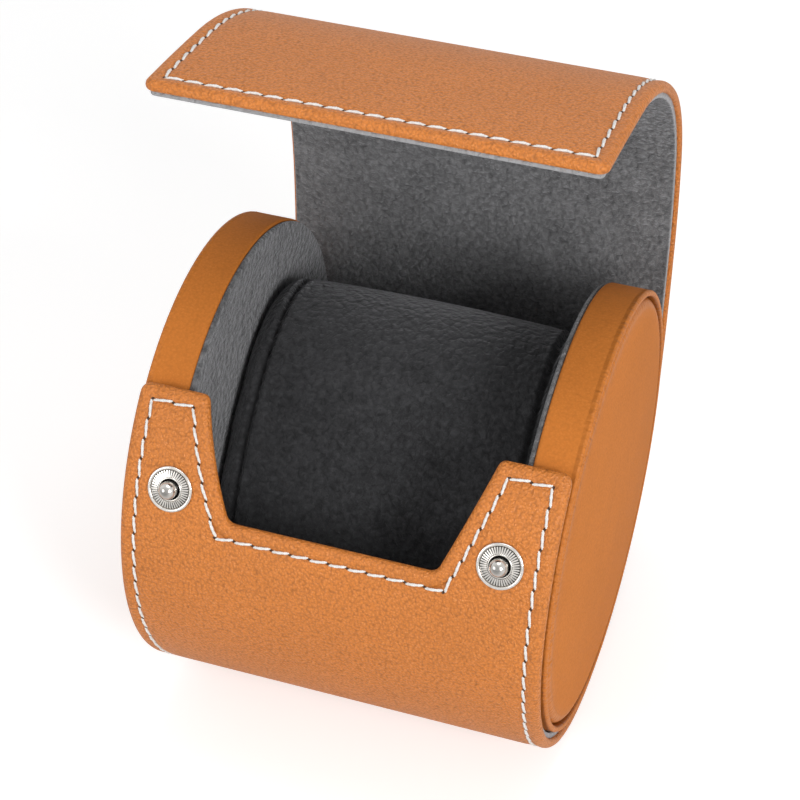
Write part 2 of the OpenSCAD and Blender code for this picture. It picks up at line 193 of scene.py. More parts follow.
# ---- materials ----
class Shade:
    """A material's node tree, with short calls for the nodes that the finishes share."""

    def __init__(self, name, roughness, metallic=0.0):
        self.material = bpy.data.materials.new(name)
        self.material.use_nodes = True
        self.tree = self.material.node_tree
        self.tree.nodes.clear()
        self.bsdf = self.add("ShaderNodeBsdfPrincipled")
        self.bsdf.inputs["Roughness"].default_value = roughness
        self.bsdf.inputs["Metallic"].default_value = metallic
        output = self.add("ShaderNodeOutputMaterial")
        self.link(self.bsdf.outputs["BSDF"], output.inputs["Surface"])

    def add(self, kind, **settings):
        node = self.tree.nodes.new(kind)
        for key, value in settings.items():
            setattr(node, key, value)
        return node

    def link(self, source, target):
        self.tree.links.new(source, target)

    def place(self, attribute=None):
        """Where a pattern is read: along the piece's flat cut, or in the piece's own space."""
        if attribute:
            return self.add("ShaderNodeAttribute", attribute_name=attribute).outputs["Vector"]
        return self.add("ShaderNodeTexCoord").outputs["Object"]

    def mapped(self, place, scale):
        node = self.add("ShaderNodeMapping")
        node.inputs["Scale"].default_value = scale
        self.link(place, node.inputs["Vector"])
        return node.outputs["Vector"]

    def noise(self, place, size, detail=2.0, distortion=0.0, roughness=0.5):
        node = self.add("ShaderNodeTexNoise")
        node.inputs["Scale"].default_value = 1 / size
        node.inputs["Detail"].default_value = detail
        node.inputs["Roughness"].default_value = roughness
        node.inputs["Distortion"].default_value = distortion
        self.link(place, node.inputs["Vector"])
        return node.outputs["Fac"]

    def cells(self, place, size, feature="F1", smooth=0.4):
        node = self.add("ShaderNodeTexVoronoi", feature=feature)
        node.inputs["Scale"].default_value = 1 / size
        if feature == "SMOOTH_F1":
            node.inputs["Smoothness"].default_value = smooth
        self.link(place, node.inputs["Vector"])
        return node.outputs["Distance"]

    def shaken(self, place, size, reach):
        """The place, moved a little this way and that, so that cells lose their straight sides."""
        node = self.add("ShaderNodeTexNoise")
        node.inputs["Scale"].default_value = 1 / size
        node.inputs["Detail"].default_value = 1.0
        self.link(place, node.inputs["Vector"])
        shift = self.add("ShaderNodeVectorMath", operation="MULTIPLY_ADD")
        self.link(node.outputs["Color"], shift.inputs[0])
        shift.inputs[1].default_value = (reach * 2, reach * 2, reach * 2)
        self.link(place, shift.inputs[2])
        return shift.outputs["Vector"]

    def math(self, operation, a, b=None, clamp=False):
        node = self.add("ShaderNodeMath", operation=operation, use_clamp=clamp)
        for socket, value in zip(node.inputs, (a, b)):
            if value is None:
                continue
            if isinstance(value, (int, float)):
                socket.default_value = value
            else:
                self.link(value, socket)
        return node.outputs[0]

    def ramp(self, factor, stops):
        """stops are (place, colour) pairs."""
        node = self.add("ShaderNodeValToRGB")
        elements = node.color_ramp.elements
        while len(elements) < len(stops):
            elements.new(0.5)
        for element, (place, color) in zip(elements, stops):
            element.position = place
            element.color = (*color, 1)
        self.link(factor, node.inputs["Fac"])
        return node.outputs["Color"]

    def mix(self, factor, a, b):
        node = self.add("ShaderNodeMix", data_type="RGBA")
        for socket, value in ((node.inputs["Factor"], factor), (node.inputs["A"], a),
                              (node.inputs["B"], b)):
            if isinstance(value, (int, float)):
                socket.default_value = value
            elif isinstance(value, tuple):
                socket.default_value = (*value, 1)
            else:
                self.link(value, socket)
        return node.outputs["Result"]

    def attribute(self, name):
        return self.add("ShaderNodeAttribute", attribute_name=name).outputs["Fac"]

    def color(self, source):
        self.link(source, self.bsdf.inputs["Base Color"])

    def rough(self, factor, low, high):
        node = self.add("ShaderNodeMapRange")
        node.inputs["To Min"].default_value = low
        node.inputs["To Max"].default_value = high
        self.link(factor, node.inputs["Value"])
        self.link(node.outputs["Result"], self.bsdf.inputs["Roughness"])

    def bump(self, height, depth, before=None, strength=1.0):
        node = self.add("ShaderNodeBump")
        node.inputs["Strength"].default_value = strength
        node.inputs["Distance"].default_value = depth
        self.link(height, node.inputs["Height"])
        if before is not None:
            self.link(before, node.inputs["Normal"])
        self.link(node.outputs["Normal"], self.bsdf.inputs["Normal"])
        return node.outputs["Normal"]


def tone(color, factor):
    """The colour, made lighter or darker."""
    return tuple(min(1.0, c * factor) for c in color)


def leather_material(name, place_attribute, pleats=False):
    """Smooth full-grain leather: fine pebbles, with a painted highlight on their crowns and
    painted shade in the dips and in the grooves that the seam or fold layer marks.
    """
    p = bpy.context.scene.case_leather
    base = tuple(p.color) if pleats else tone(tuple(p.color), 1.13)
    s = Shade(name, 0.5)
    place = s.place(place_attribute)
    bent = s.shaken(place, p.grain * 1.1, p.grain * 0.55)
    pebble = s.cells(bent, p.grain, "SMOOTH_F1", 0.35)
    fine = s.noise(place, p.grain * 0.55, 2.0)
    cloud = s.noise(place, 0.016, 3.0)
    height = s.math("ADD", s.math("SUBTRACT", 1.0, pebble), s.math("MULTIPLY", fine, 0.5))
    calm = 0.35 if pleats else 1.0
    body = s.ramp(cloud, [(0.3, tone(base, 0.96)), (0.7, tone(base, 1.04))])
    # Painted shade: the leather is made darker in the dips between the pebbles.
    painted_dip_shade = s.math("MULTIPLY", s.math("SUBTRACT", 0.95, height), 1.5 * calm, clamp=True)
    body = s.mix(painted_dip_shade, body, tone(base, 0.6))
    # Painted highlight: the pebbles' crowns are made paler, standing in for their glints.
    painted_crown_highlight = s.math("MULTIPLY", s.math("SUBTRACT", height, 0.98), 1.2 * calm, clamp=True)
    body = s.mix(painted_crown_highlight, body, (0.78, 0.42, 0.17))
    # Painted shade: darker along the seam's groove on the strip, and in the groove between a cap's
    # rim and face where the fold layer is set.
    dark, share = ("fold", 0.6) if pleats else ("seam", 0.25)
    body = s.mix(s.math("MULTIPLY", s.attribute(dark), share), body, tone(base, 0.35))
    s.color(body)
    if pleats:
        s.rough(s.attribute("pleat"), 0.78, 0.42)
    else:
        s.rough(height, 0.60, 0.36)
    normal = s.bump(height, p.grain_depth * (0.5 if pleats else 2.8))
    if pleats:
        lines = s.noise(s.place("spoke"), 0.0011, 2.0, 0.6)
        lines = s.math("MULTIPLY", lines, s.attribute("pleat"))
        s.bump(lines, 0.0007, before=normal)
    s.bsdf.inputs["Specular IOR Level"].default_value = 0.2 if pleats else 0.38
    return s.material


def suede_material(name, color, place_attribute, raw=False, depth=0.0008):
    """Suede: a short mottled nap, soft at grazing light, paler where its raw edge shows, and
    darker in painted shade where the fold layer marks a seam's groove.
    """
    s = Shade(name, 0.95)
    place = s.place(place_attribute)
    patch = s.noise(place, 0.011, 2.0, 0.5)
    bent = s.shaken(place, 0.0016, 0.0007)
    tuft = s.noise(bent, 0.0010, 3.0, 0.4, 0.6)
    curl = s.math("SUBTRACT", 1.0, s.cells(bent, 0.0013, "SMOOTH_F1", 0.3))
    nap = s.noise(place, 0.00028, 2.0)
    factor = s.math("ADD", s.math("MULTIPLY", patch, 0.3), s.math("MULTIPLY", tuft, 0.7))
    factor = s.math("ADD", s.math("MULTIPLY", factor, 0.8), s.math("MULTIPLY", nap, 0.2))
    factor = s.math("ADD", factor, s.math("MULTIPLY", s.math("SUBTRACT", curl, 0.55), 0.15))
    body = s.ramp(factor, [(0.35, tone(color, 0.5)), (0.5, color), (0.65, tone(color, 1.6))])
    # Painted shade: darker where the fold layer marks a seam's groove.
    body = s.mix(s.math("MULTIPLY", s.attribute("fold"), 0.85), body, tone(color, 0.15))
    if raw:
        body = s.mix(s.attribute("raw"), body, tone(color, 2.6))
    s.color(body)
    relief = s.math("ADD", s.math("MULTIPLY", curl, 0.9), s.math("MULTIPLY", tuft, 0.7))
    s.bump(s.math("ADD", relief, s.math("MULTIPLY", nap, 0.3)), depth)
    s.bsdf.inputs["Sheen Weight"].default_value = 0.4
    s.bsdf.inputs["Sheen Roughness"].default_value = 0.5
    s.bsdf.inputs["Sheen Tint"].default_value = (0.85, 0.85, 0.88, 1)
    s.bsdf.inputs["Specular IOR Level"].default_value = 0.1
    return s.material


def metal_material(name):
    p = bpy.context.scene.case_metal
    color = tuple(p.color)
    s = Shade(name, 0.2, 1.0)
    place = s.place()
    haze = s.noise(place, 0.0011, 3.0)
    body = s.ramp(haze, [(0.3, tone(color, 0.86)), (0.7, tone(color, 1.06))])
    # Painted shade in the stud's hollows and a painted dark reflection on its ball: the metal is
    # darkened where the layer is set.
    s.color(s.mix(s.attribute("recess"), body, tone(color, 0.08)))
    s.rough(haze, 0.12, 0.28)
    s.bump(s.noise(place, 0.0003, 2.0), 0.000006)
    return s.material


def thread_material():
    color = tuple(bpy.context.scene.case_thread.color)
    s = Shade("waxed_thread", 0.62)
    place = s.place()
    fibre = s.noise(place, 0.00022, 2.0)
    s.color(s.ramp(fibre, [(0.3, tone(color, 0.82)), (0.65, color)]))
    s.bump(fibre, 0.00004)
    s.bsdf.inputs["Sheen Weight"].default_value = 0.2
    return s.material


def hole_material():
    s = Shade("needle_hole", 0.9)
    # Painted shade: a needle hole is a small dark disc, its shade mottled a little at random.
    shade_mottle = s.noise(s.place(), 0.0004, 2.0)
    s.color(s.ramp(shade_mottle, [(0.3, (0.03, 0.011, 0.004)), (0.7, (0.07, 0.025, 0.008))]))
    return s.material


def board_material(name, color):
    s = Shade(name, 0.85)
    place = s.place()
    fleck = s.noise(place, 0.0007, 4.0)
    s.color(s.ramp(fleck, [(0.3, tone(color, 0.8)), (0.7, tone(color, 1.15))]))
    s.bump(fleck, 0.00008)
    return s.material


def finish(name, maker, *args, **kwargs):
    """The named material, made on first use."""
    found = bpy.data.materials.get(name)
    return found or maker(*args, **kwargs)


def strip_leather():
    return finish("strip_leather", leather_material, "strip_leather", "flat_cut")


def cap_leather():
    return finish("cap_leather", leather_material, "cap_leather", None, pleats=True)


def lining_suede(place="flat_cut"):
    name = "lining_suede" if place else "disc_suede"
    return finish(name, suede_material, name, tuple(bpy.context.scene.case_suede.color),
                  place, raw=bool(place))


def nickel():
    return finish("nickel", metal_material, "nickel")


# ---- meshes ----
def mesh_object(name, points, faces, material, smooth=True, **layers):
    """A mesh object from points in millimetres; each layer is one value or vector a point."""
    mesh = bpy.data.meshes.new(name)
    mesh.from_pydata((np.asarray(points) * MM).tolist(), [], [list(map(int, f)) for f in faces])
    for key, values in layers.items():
        values = np.asarray(values, np.float32)
        if values.ndim == 2:
            layer = mesh.attributes.new(key, "FLOAT_VECTOR", "POINT")
            layer.data.foreach_set("vector", values.ravel())
        else:
            layer = mesh.attributes.new(key, "FLOAT", "POINT")
            layer.data.foreach_set("value", values)
    if smooth:
        mesh.polygons.foreach_set("use_smooth", [True] * len(mesh.polygons))
    mesh.validate()
    mesh.update()
    piece = bpy.data.objects.new(name, mesh)
    bpy.context.scene.collection.objects.link(piece)
    mesh.materials.append(material)
    return piece


def lathe(name, profile, origin, axis, start, material, turns=288, ripple=None, closed=False,
          **layers):
    """Turns a profile of (radius, height) points about axis; start is where the angle is zero.

    ripple(angle, index) gives a shift of each point's (radius, height)."""
    axis, start = np.array(axis, float), np.array(start, float)
    side = np.cross(axis, start)
    profile = np.array(profile, float)
    n = len(profile)
    poles = [i for i in (0, n - 1) if profile[i][0] < 1e-6]
    angles = np.arange(turns) * 2 * math.pi / turns
    points, flat, index = [], [], {}
    spoke = profile[:, 0].max() * MM
    run = np.concatenate([[0], np.cumsum(np.linalg.norm(np.diff(profile, axis=0), axis=1))])
    for i, (r, h) in enumerate(profile):
        if i in poles:
            index[i] = [len(points)] * turns
            points.append(np.array(origin) + axis * h)
            flat.append((0, 0, run[i] * 0.16 * MM))
            continue
        index[i] = list(range(len(points), len(points) + turns))
        for a in angles:
            dr, dh = ripple(a, i) if ripple else (0.0, 0.0)
            points.append(np.array(origin) + axis * (h + dh)
                          + (r + dr) * (math.cos(a) * start + math.sin(a) * side))
            flat.append((spoke * math.cos(a), spoke * math.sin(a), run[i] * 0.16 * MM))
    faces = []
    for i in range(n if closed else n - 1):
        a, b = index[i], index[(i + 1) % n]
        for j in range(turns):
            k = (j + 1) % turns
            ring = [a[j], a[k], b[k], b[j]]
            face = [v for m, v in enumerate(ring) if v not in ring[:m]]
            if len(face) > 2:
                faces.append(face)
    spread = {}
    for key, values in layers.items():
        spread[key] = np.concatenate([[v] * (1 if i in poles else turns)
                                      for i, v in enumerate(values)])
    piece = mesh_object(name, points, faces, material, spoke=flat, **spread)
    outward(piece)
    return piece


def outward(piece):
    """Turns a closed mesh's faces outwards."""
    work = bmesh.new()
    work.from_mesh(piece.data)
    bmesh.ops.recalc_face_normals(work, faces=work.faces)
    work.to_mesh(piece.data)
    work.free()


def arc(centre, radius, start, end, steps):
    """Points on an arc in the plane, angles in degrees."""
    return [(centre[0] + radius * math.cos(math.radians(start + (end - start) * i / steps)),
             centre[1] + radius * math.sin(math.radians(start + (end - start) * i / steps)))
            for i in range(steps + 1)]


# ---- the strip: one long piece from the ears, round the back, to the lid's free edge ----
def unit(degrees):
    """Direction, as (y, z), at an angle from the back."""
    a = np.radians(degrees)
    return np.stack([np.cos(a), np.sin(a)], -1)


def lid_arcs():
    """Each stiff length's first place along the strip, radius, centre and first direction."""
    arcs, run, direction = [], 0.0, OPEN_DIR
    fold = np.array([0, AXIS_Z]) + WRAP_MID_R * unit(HINGE_ANGLE)
    for length, turn in zip(LID_LENGTHS, LID_TURNS):
        radius = length / math.radians(turn)
        centre = fold + radius * unit(direction + 90)
        arcs.append((run, radius, centre, direction))
        run, direction = run + length, direction + turn
        fold = centre + radius * unit(direction - 90)
    return arcs


LID_ARCS = lid_arcs()
LID_LEN = sum(LID_LENGTHS)
FOLDS = [a[0] for a in LID_ARCS]
EAR_S = -math.radians(HINGE_ANGLE - EAR_ANGLE + 360) * WRAP_MID_R


def strip_frame(s):
    """Point on the strip's middle and outward direction, both as (y, z), at places s along it."""
    s = np.asarray(s, float)
    angle = HINGE_ANGLE + np.degrees(s / WRAP_MID_R)
    out = unit(angle)
    middle = np.array([0, AXIS_Z]) + WRAP_MID_R * out
    for start, radius, centre, direction in LID_ARCS:
        here = s >= start
        way = unit(direction - 90 + np.degrees((s - start) / radius))
        out = np.where(here[..., None], way, out)
        middle = np.where(here[..., None], centre + radius * way, middle)
    return middle, out


def strip_point(s, x, off):
    """Points in space for places (s, x) of the flat strip, off its middle surface."""
    middle, out = strip_frame(s)
    place = middle + out * np.asarray(off)[..., None]
    z = np.maximum(place[..., 1], 0.02)
    return np.stack([np.broadcast_to(x, z.shape), place[..., 0], z], -1)


def rounded(corners, step):
    """A closed outline through corners of (s, x, radius), counted on evenly by step."""
    path = []
    n = len(corners)
    for i, (s, x, radius) in enumerate(corners):
        here = np.array([s, x])
        before = np.array(corners[i - 1][:2]) - here
        after = np.array(corners[(i + 1) % n][:2]) - here
        u, v = before / np.linalg.norm(before), after / np.linalg.norm(after)
        if radius <= 0:
            path.append(here)
            continue
        half = math.acos(float(np.clip(u @ v, -1, 1))) / 2
        reach = radius / math.tan(half)
        centre = here + (u + v) / np.linalg.norm(u + v) * radius / math.sin(half)
        a, b = here + u * reach - centre, here + v * reach - centre
        first, last = math.atan2(a[1], a[0]), math.atan2(b[1], b[0])
        sweep = (last - first + math.pi) % (2 * math.pi) - math.pi
        for k in range(9):
            t = first + sweep * k / 8
            path.append(centre + radius * np.array([math.cos(t), math.sin(t)]))
    path = np.array(path)
    return resampled(np.vstack([path, path[:1]]), step)[:-1]


def resampled(path, step, keep=0.25):
    """The path with points about step apart; short steps on arcs are kept."""
    points = [path[0]]
    for a, b in zip(path[:-1], path[1:]):
        length = np.linalg.norm(b - a)
        if length < keep * 0.2:
            continue
        count = max(1, round(length / step))
        points += [a + (b - a) * (k + 1) / count for k in range(count)]
    return np.array(points)


def cut_edge(count=14):
    """The sloping side of the cut-out, from the ear's top to the cut-out's lower edge."""
    top_z = (WRAP_MID_R + STRIP_T / 2) * math.sin(math.radians(EAR_ANGLE))
    slope = (CUT_TOP_HALF_W - CUT_HALF_W) / (top_z - CUT_BOTTOM)
    low = -180 - HINGE_ANGLE - math.degrees(math.asin(CUT_BOTTOM / WRAP_MID_R))
    low_s = math.radians(low) * WRAP_MID_R
    s = EAR_S + (low_s - EAR_S) * np.linspace(0, 1, count)
    z = WRAP_MID_R * np.sin(np.radians(HINGE_ANGLE) + s / WRAP_MID_R)
    return [(a, CUT_HALF_W + slope * (b - CUT_BOTTOM)) for a, b in zip(s, z)]


def strip_corners():
    """The corners of the strip's cut shape laid flat, each as (s, x, radius)."""
    edge = cut_edge()
    right = [(LID_LEN, STRIP_HALF_W, EDGE_CORNER_R), (EAR_S, STRIP_HALF_W, EDGE_CORNER_R),
             (*edge[0], EDGE_CORNER_R * 0.8)]
    right += [(*p, 0) for p in edge[2:-2]] + [(*edge[-1], CUT_CORNER_R)]
    left = [(s, -x, r) for s, x, r in reversed(right)]
    return right + left


OUTLINE = rounded(strip_corners(), 0.8)


def plain_corners(path):
    """The path without the points that lie on straight runs."""
    before, after = path - np.roll(path, 1, axis=0), np.roll(path, -1, axis=0) - path
    turn = before[:, 0] * after[:, 1] - before[:, 1] * after[:, 0]
    size = np.linalg.norm(before, axis=1) * np.linalg.norm(after, axis=1)
    return path[np.abs(turn) > 1e-4 * size]


BORDER = plain_corners(OUTLINE)


def edge_distance(points):
    """Distance of flat points from the strip's edge, positive inside it."""
    a, b = BORDER, np.roll(BORDER, -1, axis=0)
    d = b - a
    length = (d ** 2).sum(1)
    best = np.full(len(points), 1e9)
    inside = np.zeros(len(points), bool)
    for (a0, a1), (d0, d1), size in zip(a, d, length):
        r0, r1 = points[:, 0] - a0, points[:, 1] - a1
        t = np.clip((r0 * d0 + r1 * d1) / size, 0, 1)
        np.minimum(best, (r0 - t * d0) ** 2 + (r1 - t * d1) ** 2, out=best)
        if d1:
            above = (r1 < 0) != (r1 < d1)
            inside ^= above & (r0 < r1 * d0 / d1)
    best = np.sqrt(best)
    return np.where(inside, best, -best)


@functools.lru_cache(None)
def offset_ring(distance):
    """Points of the outline moved inwards, without the ones that cross over at corners."""
    nxt, prev = np.roll(OUTLINE, -1, axis=0), np.roll(OUTLINE, 1, axis=0)
    along = nxt - prev
    along /= np.linalg.norm(along, axis=1)[:, None]
    normal = np.stack([-along[:, 1], along[:, 0]], 1)
    area = 0.5 * (OUTLINE[:, 0] * nxt[:, 1] - nxt[:, 0] * OUTLINE[:, 1]).sum()
    moved = OUTLINE + normal * distance * (1 if area > 0 else -1)
    return moved[edge_distance(moved) > distance - 0.03]


@functools.lru_cache(None)
def flat_body(start, grid):
    """Evenly spread points of the strip further than start from its edge."""
    s = np.arange(EAR_S, LID_LEN, grid)
    x = np.arange(-STRIP_HALF_W, STRIP_HALF_W, grid)
    gs, gx = np.meshgrid(s, x, indexing="ij")
    gx = gx + (np.arange(len(s)) % 2)[:, None] * grid / 2
    body = np.stack([gs.ravel(), gx.ravel()], 1)
    return body[edge_distance(body) > start]


def flat_net(rings, grid, low, high, inset=0.0, holes=(), hole_r=0.0):
    """Points and triangles over the part of the strip with s from low to high."""
    edge = OUTLINE if inset <= 0 else offset_ring(inset)
    start = float(max(rings) + grid * 0.6)
    points = np.vstack([edge] + [offset_ring(float(d)) for d in rings]
                       + [flat_body(start, grid)])
    near = 0.15
    keep = (points[:, 0] > low + near if low > EAR_S else points[:, 0] > -1e9)
    keep &= (points[:, 0] < high - near if high < LID_LEN else points[:, 0] < 1e9)
    points = points[keep]
    half = np.concatenate([[inset], rings, np.arange(start, STRIP_HALF_W, grid)])
    across = np.concatenate([half - STRIP_HALF_W, [0.0], STRIP_HALF_W - half])
    for seam, step in ((low, near), (high, -near)):
        if EAR_S < seam < LID_LEN:
            for at in (seam, seam + step):
                row = np.stack([np.full(len(across), at), across], 1)
                points = np.vstack([points, row])
    for hole in holes:
        points = points[np.linalg.norm(points - hole, axis=1) > hole_r + 0.4]
        points = np.vstack([points, hole + hole_r * unit(np.arange(32) * 11.25)])
    found = geometry.delaunay_2d_cdt([Vector(p) for p in points], [], [], 0, 1e-5)
    flat = np.array([tuple(p) for p in found[0]])
    faces = np.array(found[2])
    middle = flat[faces].mean(1)
    inside = edge_distance(middle) > inset
    for hole in holes:
        inside &= np.linalg.norm(middle - hole, axis=1) > hole_r * 0.995
    return flat, faces[inside]


def shell(name, flat, faces, top, bottom, material, turned, seams, **layers):
    """A closed shell over a flat net, with heights for its two sides off the middle.

    The first side faces away from the roll's axis; turned gives the way the net is wound."""
    n = len(flat)
    places = [np.stack([flat[:, 0], flat[:, 1], side], 1) * MM for side in (top, bottom)]
    points = np.vstack([strip_point(flat[:, 0], flat[:, 1], top),
                        strip_point(flat[:, 0], flat[:, 1], bottom)])
    if turned:
        faces = faces[:, ::-1]
    count = {}
    for a, b, c in faces.tolist():
        for edge in ((a, b), (b, c), (c, a)):
            count[edge] = True
    border = [(a, b) for a, b in count if (b, a) not in count]
    walls = [(b, a, a + n, b + n) for a, b in border]
    every = faces.tolist() + (faces[:, ::-1] + n).tolist() + walls
    spread = {k: np.concatenate([v, v]) for k, v in layers.items()}
    piece = mesh_object(name, points, every, material, flat_cut=np.vstack(places),
                        **spread)
    mesh = piece.data
    s = np.concatenate([flat[:, 0], flat[:, 0]])
    sharp = []
    for edge in mesh.edges:
        a, b = edge.vertices
        sharp.append(any(abs(s[a] - v) < 1e-4 and abs(s[b] - v) < 1e-4 for v in seams))
    mesh.edges.foreach_set("use_edge_sharp", sharp)
    outward(piece)
    return piece


def outer_height(d):
    """Height of the smooth side over the strip's middle, at distance d from the edge."""
    edge = bpy.context.scene.case_leather.edge_round / MM
    seam = bpy.context.scene.case_thread.inset / MM
    t = np.clip(1 - d / edge, 0, 1)
    height = STRIP_T / 2 + 0.12 - 1.15 * (1 - np.sqrt(1 - t ** 2))
    away = np.abs(d - seam)
    return height - 0.22 * np.exp(-(away / 0.95) ** 2) - 0.16 * np.exp(-(away / 0.35) ** 2)


def turned_height(d):
    """Height of the leather's turned-in side, which the lining is laid on."""
    t = np.clip(1 - d / 0.75, 0, 1)
    border = TURN_Z + 0.75 * (1 - np.sqrt(1 - t ** 2))
    return np.where(d > TURN_W + 0.05, STRIP_T / 2 - LEATHER_T, border)


# Distances from the strip's edge at which its skin and its lining have rings of points
SKIN_RINGS = np.array([0.05, 0.14, 0.28, 0.48, 0.75, 1.05, 1.4, 1.7, 1.93, 1.97, 2.3, 2.55,
                       2.75, 2.9, 3.05, 3.25, 3.5, 3.9, 4.5])
LINING_RINGS = np.array([0.87, 0.93, 1.03, 1.2, 1.5, 1.87, 1.97, 2.8])
# Where the lining's raw edge lies, how wide the leather is turned in, and its height there
LINING_INSET = 0.82
TURN_W = 1.9
TURN_Z = -0.45


def leather_span(name, low, high, grid=1.6):
    """The strip's leather between two places: smooth side, edge and turned-in border."""
    flat, faces = flat_net(SKIN_RINGS, grid, low, high)
    d = np.maximum(edge_distance(flat), 0)
    # The seam layer marks the seam's groove, where the leather is painted in shade.
    seam = np.exp(-((d - bpy.context.scene.case_thread.inset / MM) / 0.45) ** 2)
    return shell(name, flat, faces, outer_height(d), turned_height(d), strip_leather(), True,
                 (low, high), seam=seam)


def suede_span(name, low, high, grid=2.0):
    """The suede lining between two places, laid on the turned edges, its raw edge open."""
    at = LID_LEN - SNAP_BACK
    holes = [np.array([at, side * SNAP_X]) for side in (-1, 1)] if low < at < high else []
    flat, faces = flat_net(LINING_RINGS, grid, low, high, LINING_INSET, holes, SOCKET_TUBE_R)
    d = np.maximum(edge_distance(flat) - LINING_INSET, 0)
    t = np.clip(1 - d / 0.35, 0, 1)
    s, x = flat[:, 0], flat[:, 1]
    wave = 0.035 * (np.sin(s / 5.3 + x / 17) + np.sin(x / 6.1 - s / 23 + 1.3)) + 0.05
    face = -STRIP_T / 2 + 0.3 * (1 - np.sqrt(1 - t ** 2)) + wave * np.clip(d / 3, 0, 1)
    back = np.where(d > 1.12, -STRIP_T / 2 + LINING_T, TURN_Z + 0.02)
    raw = np.exp(-(d / 0.16) ** 2)
    return shell(name, flat, faces, back, face, lining_suede(), True, (low, high), raw=raw)


def lid_spans():
    """Name, bodies, first and last place and fold of each length of lid leather."""
    ends = [CASE_END] + [a + b / 2 for a, b in zip(FOLDS, LID_LENGTHS)]
    ends[-1] = LID_LEN + 1
    bodies = ["case"] + ["lid_" + n for n in LID_NAMES]
    for k, name in enumerate(LID_NAMES):
        yield name, bodies[k], bodies[k + 1], ends[k], ends[k + 1], FOLDS[k]


def bend(piece, first, second, fold):
    """Works out the places a little either side of a fold of the lid, then bakes the piece's
    placing into its mesh.
    """
    k = FOLDS.index(fold)
    reach = 0.42 * min(LID_LENGTHS[k], LID_LENGTHS[k - 1] if k else 12.0)
    a, b = strip_point(np.array([fold - reach, fold + reach]), 0, np.zeros(2)) * MM
    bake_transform(piece)


class CASE_OT_stage(bpy.types.Operator):
    """Makes the floor, the soft studio light and the camera"""
    bl_idname = "case.stage"
    bl_label = "Stage"

    def execute(self, context):
        p = context.scene.case_stage
        self.world(context)
        self.floor()
        for name, (place, size) in LAMPS.items():
            self.lamp(name, place, size, getattr(p, name))
        self.camera(context)
        context.scene.view_settings.view_transform = "Standard"
        return {"FINISHED"}

    @staticmethod
    def world(context):
        """A soft grey sky for the object, white where it is seen, mirrored or seen through."""
        world = bpy.data.worlds.new("studio")
        context.scene.world = world
        world.use_nodes = True
        tree = world.node_tree
        white = tree.nodes.new("ShaderNodeBackground")
        for back, strength in ((tree.nodes["Background"], 0.42), (white, 1.0)):
            back.inputs["Color"].default_value = (1, 1, 1, 1)
            back.inputs["Strength"].default_value = strength
        path = tree.nodes.new("ShaderNodeLightPath")
        seen = path.outputs["Is Camera Ray"]
        for ray in ("Is Transmission Ray", "Is Glossy Ray"):
            either = tree.nodes.new("ShaderNodeMath")
            either.operation = "MAXIMUM"
            tree.links.new(seen, either.inputs[0])
            tree.links.new(path.outputs[ray], either.inputs[1])
            seen = either.outputs[0]
        mix = tree.nodes.new("ShaderNodeMixShader")
        tree.links.new(seen, mix.inputs["Fac"])
        tree.links.new(tree.nodes["Background"].outputs[0], mix.inputs[1])
        tree.links.new(white.outputs[0], mix.inputs[2])
        tree.links.new(mix.outputs[0], tree.nodes["World Output"].inputs["Surface"])

    @staticmethod
    def floor():
        """A pale floor that takes the shadow and looks white to the camera."""
        mesh = bpy.data.meshes.new("floor")
        size = FLOOR_HALF
        mesh.from_pydata([(-size, -size, 0), (size, -size, 0), (size, size, 0),
                          (-size, size, 0)], [], [(0, 1, 2, 3)])
        floor = bpy.data.objects.new("floor", mesh)
        bpy.context.scene.collection.objects.link(floor)
        s = Shade("pale_floor", 0.8)
        patch = s.noise(s.place(), 0.4, 2.0)
        s.color(s.ramp(patch, [(0.3, (0.80, 0.80, 0.80)), (0.7, (0.82, 0.82, 0.82))]))
        s.bsdf.inputs["Emission Color"].default_value = (1, 1, 1, 1)
        seen = s.add("ShaderNodeLightPath").outputs["Is Camera Ray"]
        s.link(s.math("MULTIPLY", seen, FLOOR_GLOW), s.bsdf.inputs["Emission Strength"])
        mesh.materials.append(s.material)

    @staticmethod
    def lamp(name, place, size, power):
        data = bpy.data.lights.new(name, "AREA")
        data.shape = "DISK"
        data.size = size
        data.energy = power
        lamp = bpy.data.objects.new(name, data)
        bpy.context.scene.collection.objects.link(lamp)
        lamp.location = place
        aim = Vector(LAMP_AIM) - Vector(place)
        lamp.rotation_euler = aim.to_track_quat("-Z", "Y").to_euler()

    @staticmethod
    def camera(context):
        data = bpy.data.cameras.new("camera")
        data.sensor_width = 36.0
        data.lens = CAMERA_LENS
        camera = bpy.data.objects.new("camera", data)
        context.scene.collection.objects.link(camera)
        camera.location = CAMERA_PLACE
        turn, dip = math.radians(CAMERA_TURN), math.radians(CAMERA_DIP)
        aim = Vector((-math.sin(turn) * math.cos(dip), math.cos(turn) * math.cos(dip),
                      -math.sin(dip)))
        camera.rotation_euler = aim.to_track_quat("-Z", "Y").to_euler()
        context.scene.camera = camera


class CASE_OT_strip(bpy.types.Operator):
    """Cuts the leather strip with its turned edges, in one length for the case and one for each
    part of the lid
    """
    bl_idname = "case.strip"
    bl_label = "Leather strip"

    def execute(self, context):
        wrap = leather_span("wrap_leather_skin", EAR_S - 1, CASE_END)
        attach(wrap, "case")
        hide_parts("wrap_leather")
        for name, first, second, low, high, fold in lid_spans():
            piece = leather_span(f"lid_{name}_skin", low, high)
            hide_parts(f"lid_{name}_leather")
            bend(piece, first, second, fold)
        return {"FINISHED"}


class CASE_OT_lining(bpy.types.Operator):
    """Lays the suede lining inside the strip's turned edges"""
    bl_idname = "case.lining"
    bl_label = "Suede lining"

    def execute(self, context):
        wrap = suede_span("wrap_suede", EAR_S - 1, CASE_END)
        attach(wrap, "case")
        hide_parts("wrap_lining")
        for name, first, second, low, high, fold in lid_spans():
            piece = suede_span(f"lid_{name}_suede", low, high)
            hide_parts(f"lid_{name}_lining")
            bend(piece, first, second, fold)
        return {"FINISHED"}


